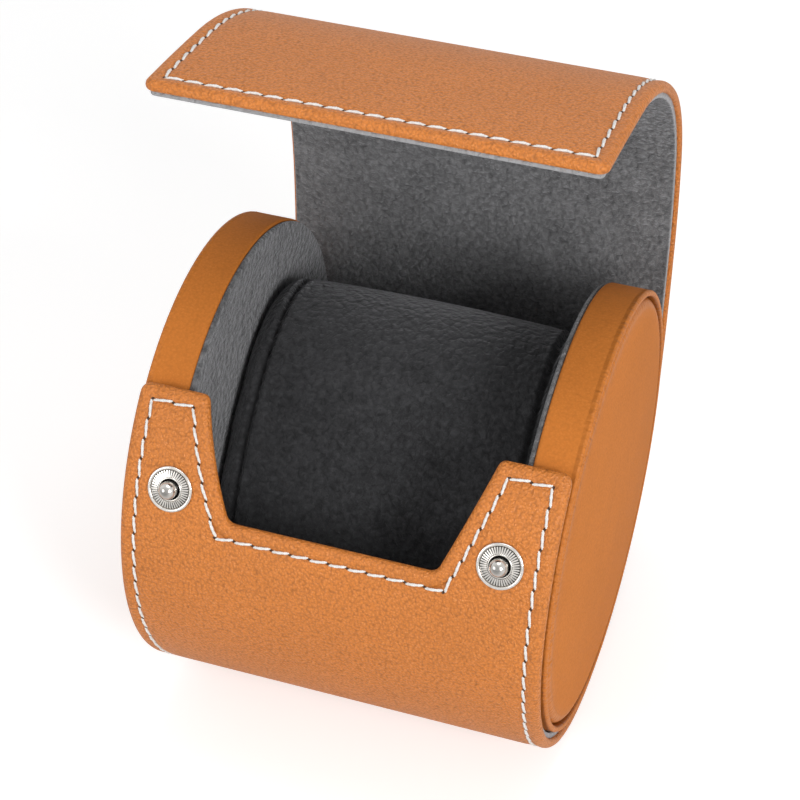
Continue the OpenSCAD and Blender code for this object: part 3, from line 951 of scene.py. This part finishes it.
class Nodes:
    """A Geometry Nodes tree with named inputs, and a call that turns its result into a mesh."""

    def __init__(self, name):
        self.tree = bpy.data.node_groups.new(name, "GeometryNodeTree")
        face = self.tree.interface
        face.new_socket("Geometry", in_out="INPUT", socket_type="NodeSocketGeometry")
        face.new_socket("Geometry", in_out="OUTPUT", socket_type="NodeSocketGeometry")
        self.source = self.tree.nodes.new("NodeGroupInput")
        self.target = self.tree.nodes.new("NodeGroupOutput")
        self.sockets = {}

    def input(self, name, kind, value, description=""):
        socket = self.tree.interface.new_socket(name, in_out="INPUT",
                                                socket_type="NodeSocket" + kind)
        socket.description = description
        self.sockets[name] = (socket.identifier, value)
        return self.source.outputs[name]

    def add(self, kind, links=(), **settings):
        """A node with its settings; links gives a value or an output for each input named."""
        node = self.tree.nodes.new(kind)
        for key, value in settings.items():
            setattr(node, key, value)
        for key, value in dict(links).items():
            socket = node.inputs[key]
            if isinstance(value, bpy.types.NodeSocket):
                self.tree.links.new(value, socket)
            else:
                socket.default_value = value
        return node

    def named(self, name, kind):
        return self.add("GeometryNodeInputNamedAttribute", {"Name": name},
                        data_type=kind).outputs["Attribute"]

    def calc(self, operation, a, b):
        return self.add("ShaderNodeMath", {0: a, 1: b}, operation=operation).outputs[0]

    def end(self, geometry_output):
        self.tree.links.new(geometry_output, self.target.inputs["Geometry"])

    def bake(self, name, base):
        """The tree's result on base as a new mesh object; base is removed."""
        modifier = base.modifiers.new("nodes", "NODES")
        modifier.node_group = self.tree
        for identifier, value in self.sockets.values():
            modifier[identifier] = value
        graph = bpy.context.evaluated_depsgraph_get()
        mesh = bpy.data.meshes.new_from_object(base.evaluated_get(graph),
                                               preserve_all_data_layers=True,
                                               depsgraph=graph)
        mesh.name = name
        base.modifiers.remove(modifier)
        old = base.data
        bpy.data.objects.remove(base)
        bpy.data.meshes.remove(old)
        piece = bpy.data.objects.new(name, mesh)
        bpy.context.scene.collection.objects.link(piece)
        return piece


def seam_rows():
    """The seam's corner-to-corner rows on the flat strip, as lists of (s, x)."""
    inset = bpy.context.scene.case_thread.inset / MM
    path = np.array([corner[:2] for corner in strip_corners()])
    way = np.roll(path, -1, axis=0) - path
    way /= np.linalg.norm(way, axis=1)[:, None]
    inward = np.stack([-way[:, 1], way[:, 0]], 1)
    nxt = np.roll(path, -1, axis=0)
    if (path[:, 0] * nxt[:, 1] - nxt[:, 0] * path[:, 1]).sum() < 0:
        inward = -inward
    both = inward + np.roll(inward, 1, axis=0)
    share = 1 + (inward * np.roll(inward, 1, axis=0)).sum(1)
    seam = path + inset * both / share[:, None]
    straight = (way * np.roll(way, 1, axis=0)).sum(1) > math.cos(math.radians(35))
    corners = np.flatnonzero(~straight)
    rows = []
    for first, last in zip(corners, np.roll(corners, -1)):
        last = last if last > first else last + len(seam)
        rows.append(seam[np.arange(first, last + 1) % len(seam)])
    return rows


def seam_stitches():
    """Middle, direction and length of every stitch on the flat strip."""
    pitch = bpy.context.scene.case_thread.pitch / MM
    stitches = []
    for row in seam_rows():
        run = np.concatenate([[0], np.cumsum(np.linalg.norm(np.diff(row, axis=0), axis=1))])
        if run[-1] < pitch * 0.5:
            continue
        count = max(1, round(run[-1] / pitch))
        marks = np.linspace(0, run[-1], count + 1)
        holes = np.stack([np.interp(marks, run, row[:, i]) for i in (0, 1)], 1)
        stitches += list(zip(holes[:-1], holes[1:]))
    return stitches


def stitch_tree():
    """Geometry Nodes: a twisted thread over each stitch, with a needle hole at its end as a small
    disc painted in shade.
    """
    p = bpy.context.scene.case_thread
    n = Nodes("Saddle stitches")
    radius = n.input("Thread radius", "Float", p.radius, "Radius of the thread")
    pitch = n.input("Pitch", "Float", p.pitch, "Distance from one needle hole to the next")
    twist = n.input("Twist", "Float", 4.0, "Half turns of the two plies over one stitch")
    hole = n.input("Hole radius", "Float", p.radius * 0.85, "Radius of a needle hole")
    thread = n.input("Thread", "Material", thread_material())
    dark = n.input("Hole", "Material", hole_material())
    length = n.named("stitch_length", "FLOAT")
    along = n.named("stitch_along", "FLOAT_VECTOR")
    out = n.named("stitch_out", "FLOAT_VECTOR")
    turn = n.add("FunctionNodeAxesToRotation", {"Primary Axis": out, "Secondary Axis": along},
                 primary_axis="Z", secondary_axis="X").outputs["Rotation"]
    bow = n.add("GeometryNodeCurvePrimitiveBezierSegment",
                {"Resolution": 12, "Start": (-0.49, -0.07, -0.12), "End": (0.49, 0.07, -0.12),
                 "Start Handle": (-0.44, -0.065, 0.12), "End Handle": (0.44, 0.065, 0.12)},
                mode="POSITION").outputs["Curve"]
    factor = n.add("GeometryNodeSplineParameter").outputs["Factor"]
    tilt = n.calc("MULTIPLY", n.calc("MULTIPLY", factor, twist), math.pi)
    bow = n.add("GeometryNodeSetCurveTilt", {"Curve": bow, "Tilt": tilt})
    ring = n.add("GeometryNodeCurvePrimitiveCircle", {"Resolution": 10, "Radius": 1.0},
                 mode="RADIUS").outputs["Curve"]
    ply = n.add("GeometryNodeTransform", {"Geometry": ring, "Scale": (1.0, 0.8, 1.0)})
    tube = n.add("GeometryNodeCurveToMesh",
                 {"Curve": bow.outputs["Curve"], "Profile Curve": ply.outputs["Geometry"],
                  "Scale": n.calc("DIVIDE", radius, pitch), "Fill Caps": True})
    tube = n.add("GeometryNodeSetShadeSmooth", {"Geometry": tube.outputs["Mesh"]})
    scale = n.add("ShaderNodeCombineXYZ", {"X": length, "Y": pitch, "Z": pitch})
    threads = n.add("GeometryNodeInstanceOnPoints",
                    {"Points": n.source.outputs["Geometry"],
                     "Instance": tube.outputs["Geometry"], "Rotation": turn,
                     "Scale": scale.outputs["Vector"]})
    dot = n.add("GeometryNodeMeshCircle", {"Vertices": 12, "Radius": 1.0},
                fill_type="TRIANGLE_FAN")
    pit = n.add("GeometryNodeExtrudeMesh",
                {"Mesh": dot.outputs["Mesh"], "Offset Scale": 0.4, "Individual": False},
                mode="FACES")
    reach = n.add("ShaderNodeVectorMath", {0: along, "Scale": n.calc("MULTIPLY", length, 0.5)},
                  operation="SCALE")
    sink = n.add("ShaderNodeVectorMath", {0: out, "Scale": -0.00002}, operation="SCALE")
    shift = n.add("ShaderNodeVectorMath",
                  {0: reach.outputs["Vector"], 1: sink.outputs["Vector"]}, operation="ADD")
    ends = n.add("GeometryNodeSetPosition",
                 {"Geometry": n.source.outputs["Geometry"],
                  "Offset": shift.outputs["Vector"]})
    wide = n.add("ShaderNodeCombineXYZ",
                 {"X": n.calc("MULTIPLY", hole, 1.3), "Y": hole, "Z": 0.0003})
    holes = n.add("GeometryNodeInstanceOnPoints",
                  {"Points": ends.outputs["Geometry"], "Instance": pit.outputs["Mesh"],
                   "Rotation": turn, "Scale": wide.outputs["Vector"]})
    both = n.add("GeometryNodeJoinGeometry")
    for instances, material in ((threads, thread), (holes, dark)):
        real = n.add("GeometryNodeRealizeInstances",
                     {"Geometry": instances.outputs["Instances"]})
        done = n.add("GeometryNodeSetMaterial",
                     {"Geometry": real.outputs["Geometry"], "Material": material})
        n.tree.links.new(done.outputs["Geometry"], both.inputs["Geometry"])
    n.end(both.outputs["Geometry"])
    return n


def stitched(name, tree, stitches):
    """One piece with the given stitches of the strip."""
    a, b = np.array([s[0] for s in stitches]), np.array([s[1] for s in stitches])
    pa, pb = [strip_point(end[:, 0], end[:, 1],
                          outer_height(np.maximum(edge_distance(end), 0)))
              for end in (a, b)]
    along = pb - pa
    length = np.linalg.norm(along, axis=1)
    along /= length[:, None]
    out = strip_frame((a[:, 0] + b[:, 0]) / 2)[1]
    out = np.concatenate([np.zeros((len(out), 1)), out], 1)
    out -= along * (out * along).sum(1)[:, None]
    centre = (pa + pb) / 2
    mesh = bpy.data.meshes.new(name)
    mesh.from_pydata((centre * MM).tolist(), [], [])
    for key, values in (("stitch_along", along), ("stitch_out", out)):
        layer = mesh.attributes.new(key, "FLOAT_VECTOR", "POINT")
        layer.data.foreach_set("vector", values.astype(np.float32).ravel())
    layer = mesh.attributes.new("stitch_length", "FLOAT", "POINT")
    layer.data.foreach_set("value", (length * MM).astype(np.float32))
    base = bpy.data.objects.new(name + "_places", mesh)
    bpy.context.scene.collection.objects.link(base)
    piece = tree.bake(name, base)
    for vertex in piece.data.vertices:
        vertex.co.z = max(vertex.co.z, 0.01 * MM)
    return piece


class CASE_OT_stitches(bpy.types.Operator):
    """Sews the saddle stitches along every edge of the strip"""
    bl_idname = "case.stitches"
    bl_label = "Saddle stitches"

    def execute(self, context):
        tree = stitch_tree()
        stitches = seam_stitches()
        middle = np.array([(a[0] + b[0]) / 2 for a, b in stitches])
        on_wrap = [s for s, m in zip(stitches, middle) if m < CASE_END]
        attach(stitched("wrap_stitches", tree, on_wrap), "case")
        for name, first, second, low, high, fold in lid_spans():
            here = [s for s, m in zip(stitches, middle) if low <= m < high]
            bend(stitched(f"lid_{name}_stitches", tree, here), first, second, fold)
        return {"FINISHED"}


def wavy(seed, counts, amplitude):
    """A smooth closed wave round a full turn, for pleats in drawn leather."""
    draw = np.random.default_rng(seed)
    parts = [(n, draw.uniform(0, 2 * math.pi), draw.uniform(0.5, 1.0)) for n in counts]
    return lambda a: amplitude * sum(w * math.sin(n * a + f) for n, f, w in parts) / 2


class CASE_OT_caps(bpy.types.Operator):
    """Covers the two end caps: rim leather, padded faces and suede discs"""
    bl_idname = "case.caps"
    bl_label = "End caps"

    def execute(self, context):
        for side, name in ((-1, "left"), (1, "right")):
            axis = (side, 0, 0)
            self.rim(name, axis, 11 + side)
            self.face(name, axis, 21 + side)
            self.disc(name, axis)
        return {"FINISHED"}

    @staticmethod
    def turned(name, profile, axis, material, ripple=None, **layers):
        return lathe(name, profile, (0, 0, AXIS_Z), axis, (0, 0, 1), material, turns=360,
                     ripple=ripple, **layers)

    def rim(self, name, axis, seed):
        low, high = CAP_INNER_X - 0.04, CAP_INNER_X + RIM_W
        edge = arc((CAP_R - 0.6, low), 0.6, -90, 0, 6)
        bead = arc((CAP_R - 0.6, high - 0.6), 0.6, 0, 180, 10)
        wall = [(CAP_R, low + (high - 0.6 - low) * q) for q in (0.1, 0.25, 0.5, 0.75, 0.9)]
        profile = ([(CAP_R - 4, low), (CAP_R - 4, low - 0.6)] + edge + wall + bead
                   + [(CAP_R - 1.2, 39.2), (CAP_R - 1.2, low), (CAP_R - 4, low)])
        last = len(profile)
        first_bead = 2 + len(edge) + len(wall)
        pleat = [0.1] * first_bead + [1.0] * (last - first_bead)
        # The fold layer marks the inner side of the bead, down into the groove between the rim and
        # the face, where the leather is painted in shade.
        fold = [0.0] * (first_bead + 8) + [1.0] * (last - first_bead - 8)
        small = wavy(seed, (91, 134, 173, 211), 0.035)

        def ripple(angle, index):
            return (small(angle) * pleat[index] if index < last - 3 else 0.0), 0.0

        piece = self.turned(f"{name}_cap_rim", profile, axis, cap_leather(), ripple,
                            pleat=pleat, fold=fold)
        self.done(piece, f"{name}_rim_leather", "leather")

    def face(self, name, axis, seed):
        roll, base = FACE_ROLL, FACE_BASE_X
        profile = [(0, base)] + [(r, base) for r in (20, FACE_R - 0.3)]
        edge = arc((FACE_R - roll, base), roll, 0, 90, 10)
        crown = [((FACE_R - roll) * q, base + roll + (FACE_TOP_X - base - roll) * (1 - q * q))
                 for q in (0.985, 0.96, 0.92, 0.86, 0.78, 0.68, 0.56, 0.42, 0.26, 0.1, 0.0)]
        profile += edge + crown
        pleat = [0.0] * 3 + [1.0] * 9 + [0.8, 0.45, 0.25, 0.1] + [0.03] * (len(profile) - 16)
        # The fold layer darkens the face's back and the foot of its rolled edge, in the groove by
        # the rim: painted shade.
        fold = [1.0] * 3 + [1.0, 0.9, 0.6, 0.3] + [0.0] * (len(profile) - 7)
        small = wavy(seed, (77, 118, 151, 197), 0.05)

        def ripple(angle, index):
            wave = small(angle) * pleat[index]
            return (wave, 0.0) if index < 9 else (0.0, wave * 0.6)

        piece = self.turned(f"{name}_cap_face", profile, axis, cap_leather(), ripple,
                            pleat=pleat, fold=fold)
        self.done(piece, f"{name}_face_leather", "leather")

    def disc(self, name, axis):
        back = CAP_INNER_X - 0.62
        edge = arc((DISC_SHOWN_R - 0.5, back - 0.5), 0.5, 20, -90, 9)
        profile = ([(0, back), (30, back), (DISC_SHOWN_R - 0.3, back)] + edge
                   + [(40.5, DISC_IN_X - 0.5), (38.5, DISC_IN_X - 0.34), (36.5, DISC_IN_X)]
                   + [(q, DISC_IN_X) for q in (33, 28, 20, 10, 0)])
        piece = self.turned(f"{name}_cap_disc", profile, axis, lining_suede(None))
        self.done(piece, f"{name}_suede_disc", "suede")

    @staticmethod
    def done(piece, node, slot):
        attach(piece, "case")
        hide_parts(node)


def joined_pieces(name, pieces):
    """Several mesh objects as one, with their materials and layers."""
    bpy.ops.object.select_all(action="DESELECT")
    for piece in pieces:
        piece.select_set(True)
    bpy.context.view_layer.objects.active = pieces[0]
    bpy.ops.object.join()
    pieces[0].name = name
    pieces[0].data.name = name
    return pieces[0]


def stud_places():
    """Foot and outward direction of each press stud, on the strip's smooth side."""
    out = unit(SNAP_ANGLE)
    foot = np.array([0, AXIS_Z]) + (WRAP_MID_R + STRIP_T / 2) * out
    return [((side * SNAP_X, foot[0], foot[1]), (0, out[0], out[1])) for side in (-1, 1)]


def socket_places():
    """The same for the sockets, on the lid's lining."""
    s = LID_LEN - SNAP_BACK
    middle, out = strip_frame(s)
    foot = middle - STRIP_T / 2 * out
    return [((side * SNAP_X, foot[0], foot[1]), (0, -out[0], -out[1])) for side in (-1, 1)]


def knurl_tree():
    """Geometry Nodes: fine ribs set round a stud's flange."""
    p = bpy.context.scene.case_metal
    n = Nodes("Flange knurls")
    count = n.input("Ribs", "Int", p.knurls, "Number of ribs round the flange")
    radius = n.input("Ring radius", "Float", 0.00292, "Radius of the ring of ribs' middles")
    length = n.input("Rib length", "Float", 0.00125, "Length of a rib along the radius")
    width = n.input("Rib width", "Float", 0.00025, "Width of a rib")
    metal = n.input("Metal", "Material", nickel())
    rise = n.input("Rise", "Float", 0.00026, "Height of the ribs over the leather")
    ring = n.add("GeometryNodeMeshCircle", {"Vertices": count, "Radius": radius},
                 fill_type="NONE")
    place = n.add("GeometryNodeInputPosition").outputs["Position"]
    turn = n.add("FunctionNodeAlignRotationToVector", {"Vector": place}, axis="X",
                 pivot_axis="Z").outputs["Rotation"]
    tilt = n.add("FunctionNodeRotateRotation",
                 {"Rotation": turn, "Rotate By": (0.0, math.radians(10), 0.0)},
                 rotation_space="LOCAL").outputs["Rotation"]
    size = n.add("ShaderNodeCombineXYZ", {"X": length, "Y": width, "Z": 0.0003})
    rib = n.add("GeometryNodeMeshCube", {"Size": size.outputs["Vector"], "Vertices X": 3,
                                         "Vertices Y": 2, "Vertices Z": 2})
    ribs = n.add("GeometryNodeInstanceOnPoints",
                 {"Points": ring.outputs["Mesh"], "Instance": rib.outputs["Mesh"],
                  "Rotation": tilt})
    lift = n.add("ShaderNodeCombineXYZ", {"X": 0.0, "Y": 0.0, "Z": rise})
    up = n.add("GeometryNodeTransform", {"Geometry": ribs.outputs["Instances"],
                                         "Translation": lift.outputs["Vector"]})
    flanges = n.add("GeometryNodeInstanceOnPoints",
                    {"Points": n.source.outputs["Geometry"],
                     "Instance": up.outputs["Geometry"],
                     "Rotation": n.add("FunctionNodeAxesToRotation", {
                         "Primary Axis": n.named("stud_out", "FLOAT_VECTOR"),
                         "Secondary Axis": (1.0, 0.0, 0.0)}, primary_axis="Z",
                         secondary_axis="X").outputs["Rotation"]})
    real = n.add("GeometryNodeRealizeInstances",
                 {"Geometry": flanges.outputs["Instances"]})
    n.end(n.add("GeometryNodeSetMaterial", {"Geometry": real.outputs["Geometry"],
                                            "Material": metal}).outputs["Geometry"])
    return n


class CASE_OT_studs(bpy.types.Operator):
    """Sets the press studs on the ears and their sockets under the lid"""
    bl_idname = "case.studs"
    bl_label = "Press studs"

    def execute(self, context):
        self.studs()
        self.knurls()
        self.sockets()
        return {"FINISHED"}

    @staticmethod
    def studs():
        ball = arc((0, 1.2), 1.7, -35, 90, 16)
        foot = [(0, -1.2), (1.05, -1.2), (1.05, -0.06), (4.2, -0.06), (4.35, 0.1)]
        rim = arc((4.0, 0.2), 0.35, -10, 150, 8) + [(3.64, 0.26), (3.56, 0.18), (3.5, 0.14)]
        cone = [(3.4, 0.14), (2.5, 0.24), (2.3, 0.34)]
        collar = [(2.22, 0.5), (2.12, 0.55), (2.0, 0.52), (1.95, 0.42)]
        well = [(1.92, 0.3), (1.85, 0.22), (1.6, 0.18), (1.4, 0.18)]
        profile = foot + rim + cone + collar + well + ball[:-1] + [(0, 2.9)]
        # How dark each profile point is made: painted shade in the hollows round the flange and
        # ball, and a painted dark reflection on the ball's top.
        recess = ([1.0] * len(foot) + [0.0] * (len(rim) - 2) + [0.6, 1.0] + [0.9, 0.7, 0.3]
                  + [0.0, 0.0, 0.1, 0.7] + [1.0] * len(well) + [1.0, 0.8, 0.6, 0.4]
                  + [0.15] * (len(ball) - 9) + [0.3, 0.5, 0.6, 0.6, 0.6])
        pair = []
        for i, (foot, out) in enumerate(stud_places()):
            pair.append(lathe(f"stud_{i}", profile, foot, out, (1, 0, 0), nickel(), 96,
                              recess=recess))
        piece = joined_pieces("ear_stud_pair", pair)
        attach(piece, "case")
        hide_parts("ear_studs")

    @staticmethod
    def knurls():
        mesh = bpy.data.meshes.new("stud_feet")
        feet = stud_places()
        mesh.from_pydata([[c * MM for c in foot] for foot, _ in feet], [], [])
        layer = mesh.attributes.new("stud_out", "FLOAT_VECTOR", "POINT")
        layer.data.foreach_set("vector", np.array([o for _, o in feet], np.float32).ravel())
        base = bpy.data.objects.new("stud_feet", mesh)
        bpy.context.scene.collection.objects.link(base)
        piece = knurl_tree().bake("ear_stud_knurls", base)
        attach(piece, "case")

    @staticmethod
    def sockets():
        profile = ([(0, -1.7), (3.1, -1.7), (3.15, -1.6), (3.15, 0.02), (4.02, 0.02)]
                   + [(4.1, 0.92)] + arc((3.72, 0.92), 0.38, 10, 90, 7)
                   + [(3.2, 1.3), (2.9, 1.26), (2.8, 1.12), (2.65, 1.08), (2.55, 1.2)]
                   + arc((2.3, 1.1), 0.2, 70, 180, 6)
                   + [(2.1, 0.6), (2.16, 0.2), (2.16, -1.0), (1.9, -1.2), (0, -1.25)])
        pair = []
        for i, (foot, out) in enumerate(socket_places()):
            pair.append(lathe(f"socket_{i}", profile, foot, out, (1, 0, 0), nickel(), 96))
        piece = joined_pieces("lid_socket_pair", pair)
        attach(piece, "lid_front")
        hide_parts("lid_sockets")


def oval(a, b, turn, power=2.25):
    """Points of a slightly squared ellipse at the angles turn."""
    c, s = np.cos(turn), np.sin(turn)
    return (a * np.sign(c) * np.abs(c) ** (2 / power), b * np.sign(s) * np.abs(s) ** (2 / power))


class CASE_OT_pillow(bpy.types.Operator):
    """Fills the suede pillow and draws in its seams"""
    bl_idname = "case.pillow"
    bl_label = "Pillow"

    def execute(self, context):
        piece = self.blank()
        self.fill(context, piece)
        self.smooth(piece)
        self.seams(piece)
        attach(piece, "pillow")
        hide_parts("pillow_cover")
        return {"FINISHED"}

    @staticmethod
    def blank():
        """The sewn cover before it is filled, a little smaller than it will be."""
        sides, half = 72, PILLOW_HALF_L - 0.25
        tilt = math.radians(PILLOW_TILT)
        even = np.linspace(-1, 1, 33)
        even = np.sign(even) * np.abs(even) ** 0.85 * half
        near = np.array([-1.8, -1.1, -0.7, -0.35, 0, 0.35, 0.7, 1.1, 1.8])
        close = np.concatenate([side * (PILLOW_HALF_L - SEAM_IN + near) for side in (-1, 1)])
        even = [x for x in even if np.abs(close - x).min() > 0.3]
        places = np.sort(np.concatenate([even, close])) / half
        rings = len(places)
        points = []
        for x in places:
            end = max(0.0, abs(x) - 0.86) / 0.14
            pull = 0.7 + 0.9 * x * x + 3.4 * end ** 2.4
            a, b = oval(PILLOW_A - pull, PILLOW_B - pull,
                        np.arange(sides) * 2 * math.pi / sides)
            points.append(np.stack([np.full(sides, x * half),
                                    PILLOW_SHIFT[0] + a * math.cos(tilt) - b * math.sin(tilt),
                                    AXIS_Z + PILLOW_SHIFT[1]
                                    + a * math.sin(tilt) + b * math.cos(tilt)], 1))
        points = np.vstack(points + [[[-PILLOW_HALF_L + 0.25, 0, AXIS_Z]],
                                     [[PILLOW_HALF_L - 0.25, 0, AXIS_Z]]])
        faces = []
        for i in range(rings - 1):
            for j in range(sides):
                k = (j + 1) % sides
                faces.append([i * sides + j, i * sides + k, (i + 1) * sides + k,
                              (i + 1) * sides + j])
        last = (rings - 1) * sides
        for j in range(sides):
            k = (j + 1) % sides
            faces.append([rings * sides, k, j])
            faces.append([rings * sides + 1, last + j, last + k])
        material = finish("pillow_nap", suede_material, "pillow_nap",
                          tuple(bpy.context.scene.case_suede.pillow), None, depth=0.0004)
        piece = mesh_object("suede_pillow", points, faces, material)
        outward(piece)
        return piece

    @staticmethod
    def fill(context, piece):
        """Remeshes the cover, inflates it as cloth and keeps it inside its room."""
        context.view_layer.objects.active = piece
        remesh = piece.modifiers.new("remesh", "REMESH")
        remesh.mode = "VOXEL"
        remesh.voxel_size = 0.0012
        graph = context.evaluated_depsgraph_get()
        mesh = bpy.data.meshes.new_from_object(piece.evaluated_get(graph))
        piece.modifiers.clear()
        piece.data = mesh
        rest = np.array([v.co for v in mesh.vertices])
        cloth = piece.modifiers.new("cloth", "CLOTH")
        cloth.settings.quality = 6
        cloth.settings.use_pressure = True
        cloth.settings.uniform_pressure_force = context.scene.case_suede.swell
        cloth.settings.tension_stiffness = 12
        cloth.settings.compression_stiffness = 12
        cloth.settings.bending_stiffness = 0.4
        cloth.settings.effector_weights.gravity = 0
        cloth.collision_settings.use_collision = False
        for number in range(1, 21):
            context.scene.frame_set(number)
        graph = context.evaluated_depsgraph_get()
        filled = piece.evaluated_get(graph)
        moved = np.array([v.co for v in filled.data.vertices])
        shift = moved - rest
        length = np.linalg.norm(shift, axis=1)[:, None]
        shift *= np.minimum(1, SWELL_MOST * MM / np.maximum(length, 1e-9))
        piece.modifiers.clear()
        context.scene.frame_set(1)
        room = (PILLOW_HALF_L - 0.02) * MM
        place = rest + shift
        place[:, 0] = np.clip(place[:, 0], -room, room)
        mesh.vertices.foreach_set("co", place.astype(np.float32).ravel())
        mesh.polygons.foreach_set("use_smooth", [True] * len(mesh.polygons))
        mesh.update()

    @staticmethod
    def smooth(piece):
        modifier = piece.modifiers.new("fine", "SUBSURF")
        modifier.levels = modifier.render_levels = 1
        graph = bpy.context.evaluated_depsgraph_get()
        mesh = bpy.data.meshes.new_from_object(piece.evaluated_get(graph))
        piece.modifiers.clear()
        piece.data = mesh

    @staticmethod
    def seams(piece):
        """Draws in a seam near each end, with small puckers beside it, and a fold layer that
        paints shade in its groove.
        """
        mesh = piece.data
        place = np.array([v.co for v in mesh.vertices]) / MM
        at = PILLOW_HALF_L - SEAM_IN
        rel = place[:, 1:] - np.array([0, AXIS_Z])
        radius = np.linalg.norm(rel, axis=1)
        angle = np.arctan2(rel[:, 1], rel[:, 0])
        gap = np.abs(np.abs(place[:, 0]) - at)
        pucker = 1 + 0.35 * np.sin(angle * 46) * np.exp(-(gap / 1.6) ** 2)
        depth = 1.0 * np.exp(-(gap / 0.42) ** 2) + 0.35 * np.exp(-(gap / 1.9) ** 2) * pucker
        depth -= 0.35 * np.exp(-((gap - 1.1) / 0.5) ** 2)
        ease = np.clip((radius - 8) / 6, 0, 1)
        place[:, 1:] -= rel / np.maximum(radius, 1e-6)[:, None] * (depth * ease)[:, None]
        mesh.vertices.foreach_set("co", (place * MM).astype(np.float32).ravel())
        # The fold layer marks the seam's groove, where the suede is painted in shade.
        fold = mesh.attributes.new("fold", "FLOAT", "POINT")
        fold.data.foreach_set("value", (np.exp(-(gap / 0.45) ** 2) * ease).astype(np.float32))
        mesh.polygons.foreach_set("use_smooth", [True] * len(mesh.polygons))
        mesh.update()


class CASE_OT_hidden(bpy.types.Operator):
    """Gives the boards, the foam and the washers their own materials"""
    bl_idname = "case.hidden"
    bl_label = "Boards, foam and washers"

    def execute(self, context):
        board = board_material("fibre_board", (0.42, 0.33, 0.22))
        foam = board_material("foam", (0.82, 0.8, 0.72))
        for name, node in NODES.items():
            material = (foam if "foam" in name else nickel() if "washer" in name else board)
            if node.hide_render:
                material = (nickel() if "stud" in name or "socket" in name else
                            strip_leather() if "leather" in name else lining_suede())
            node.data.materials.clear()
            node.data.materials.append(material)
        return {"FINISHED"}


GROUPS = {"case_leather": CaseLeather, "case_thread": CaseThread, "case_suede": CaseSuede,
          "case_metal": CaseMetal, "case_stage": CaseStage}
STEPS = [CASE_OT_stage, CASE_OT_strip, CASE_OT_lining, CASE_OT_stitches, CASE_OT_caps,
         CASE_OT_studs, CASE_OT_pillow, CASE_OT_hidden]


class CASE_PT_panel(bpy.types.Panel):
    """Lists the steps that dress the case"""
    bl_idname = "CASE_PT_panel"
    bl_label = "Watch Case"
    bl_space_type = "VIEW_3D"
    bl_region_type = "UI"
    bl_category = "Watch Case"

    def draw(self, context):
        for name, group in GROUPS.items():
            box = self.layout.box()
            for key in group.__annotations__:
                box.prop(getattr(context.scene, name), key)
        for step in STEPS:
            self.layout.operator(step.bl_idname)


def register():
    for group in GROUPS.values():
        bpy.utils.register_class(group)
    for name, group in GROUPS.items():
        setattr(bpy.types.Scene, name, PointerProperty(type=group))
    for step in STEPS:
        bpy.utils.register_class(step)
    bpy.utils.register_class(CASE_PT_panel)


def unregister():
    bpy.utils.unregister_class(CASE_PT_panel)
    for step in reversed(STEPS):
        bpy.utils.unregister_class(step)
    for name in GROUPS:
        delattr(bpy.types.Scene, name)
    for group in reversed(list(GROUPS.values())):
        bpy.utils.unregister_class(group)


def main():
    register()
    for step in STEPS:
        group, call = step.bl_idname.split(".")
        getattr(getattr(bpy.ops, group), call)()


if __name__ == "__main__":
    main()
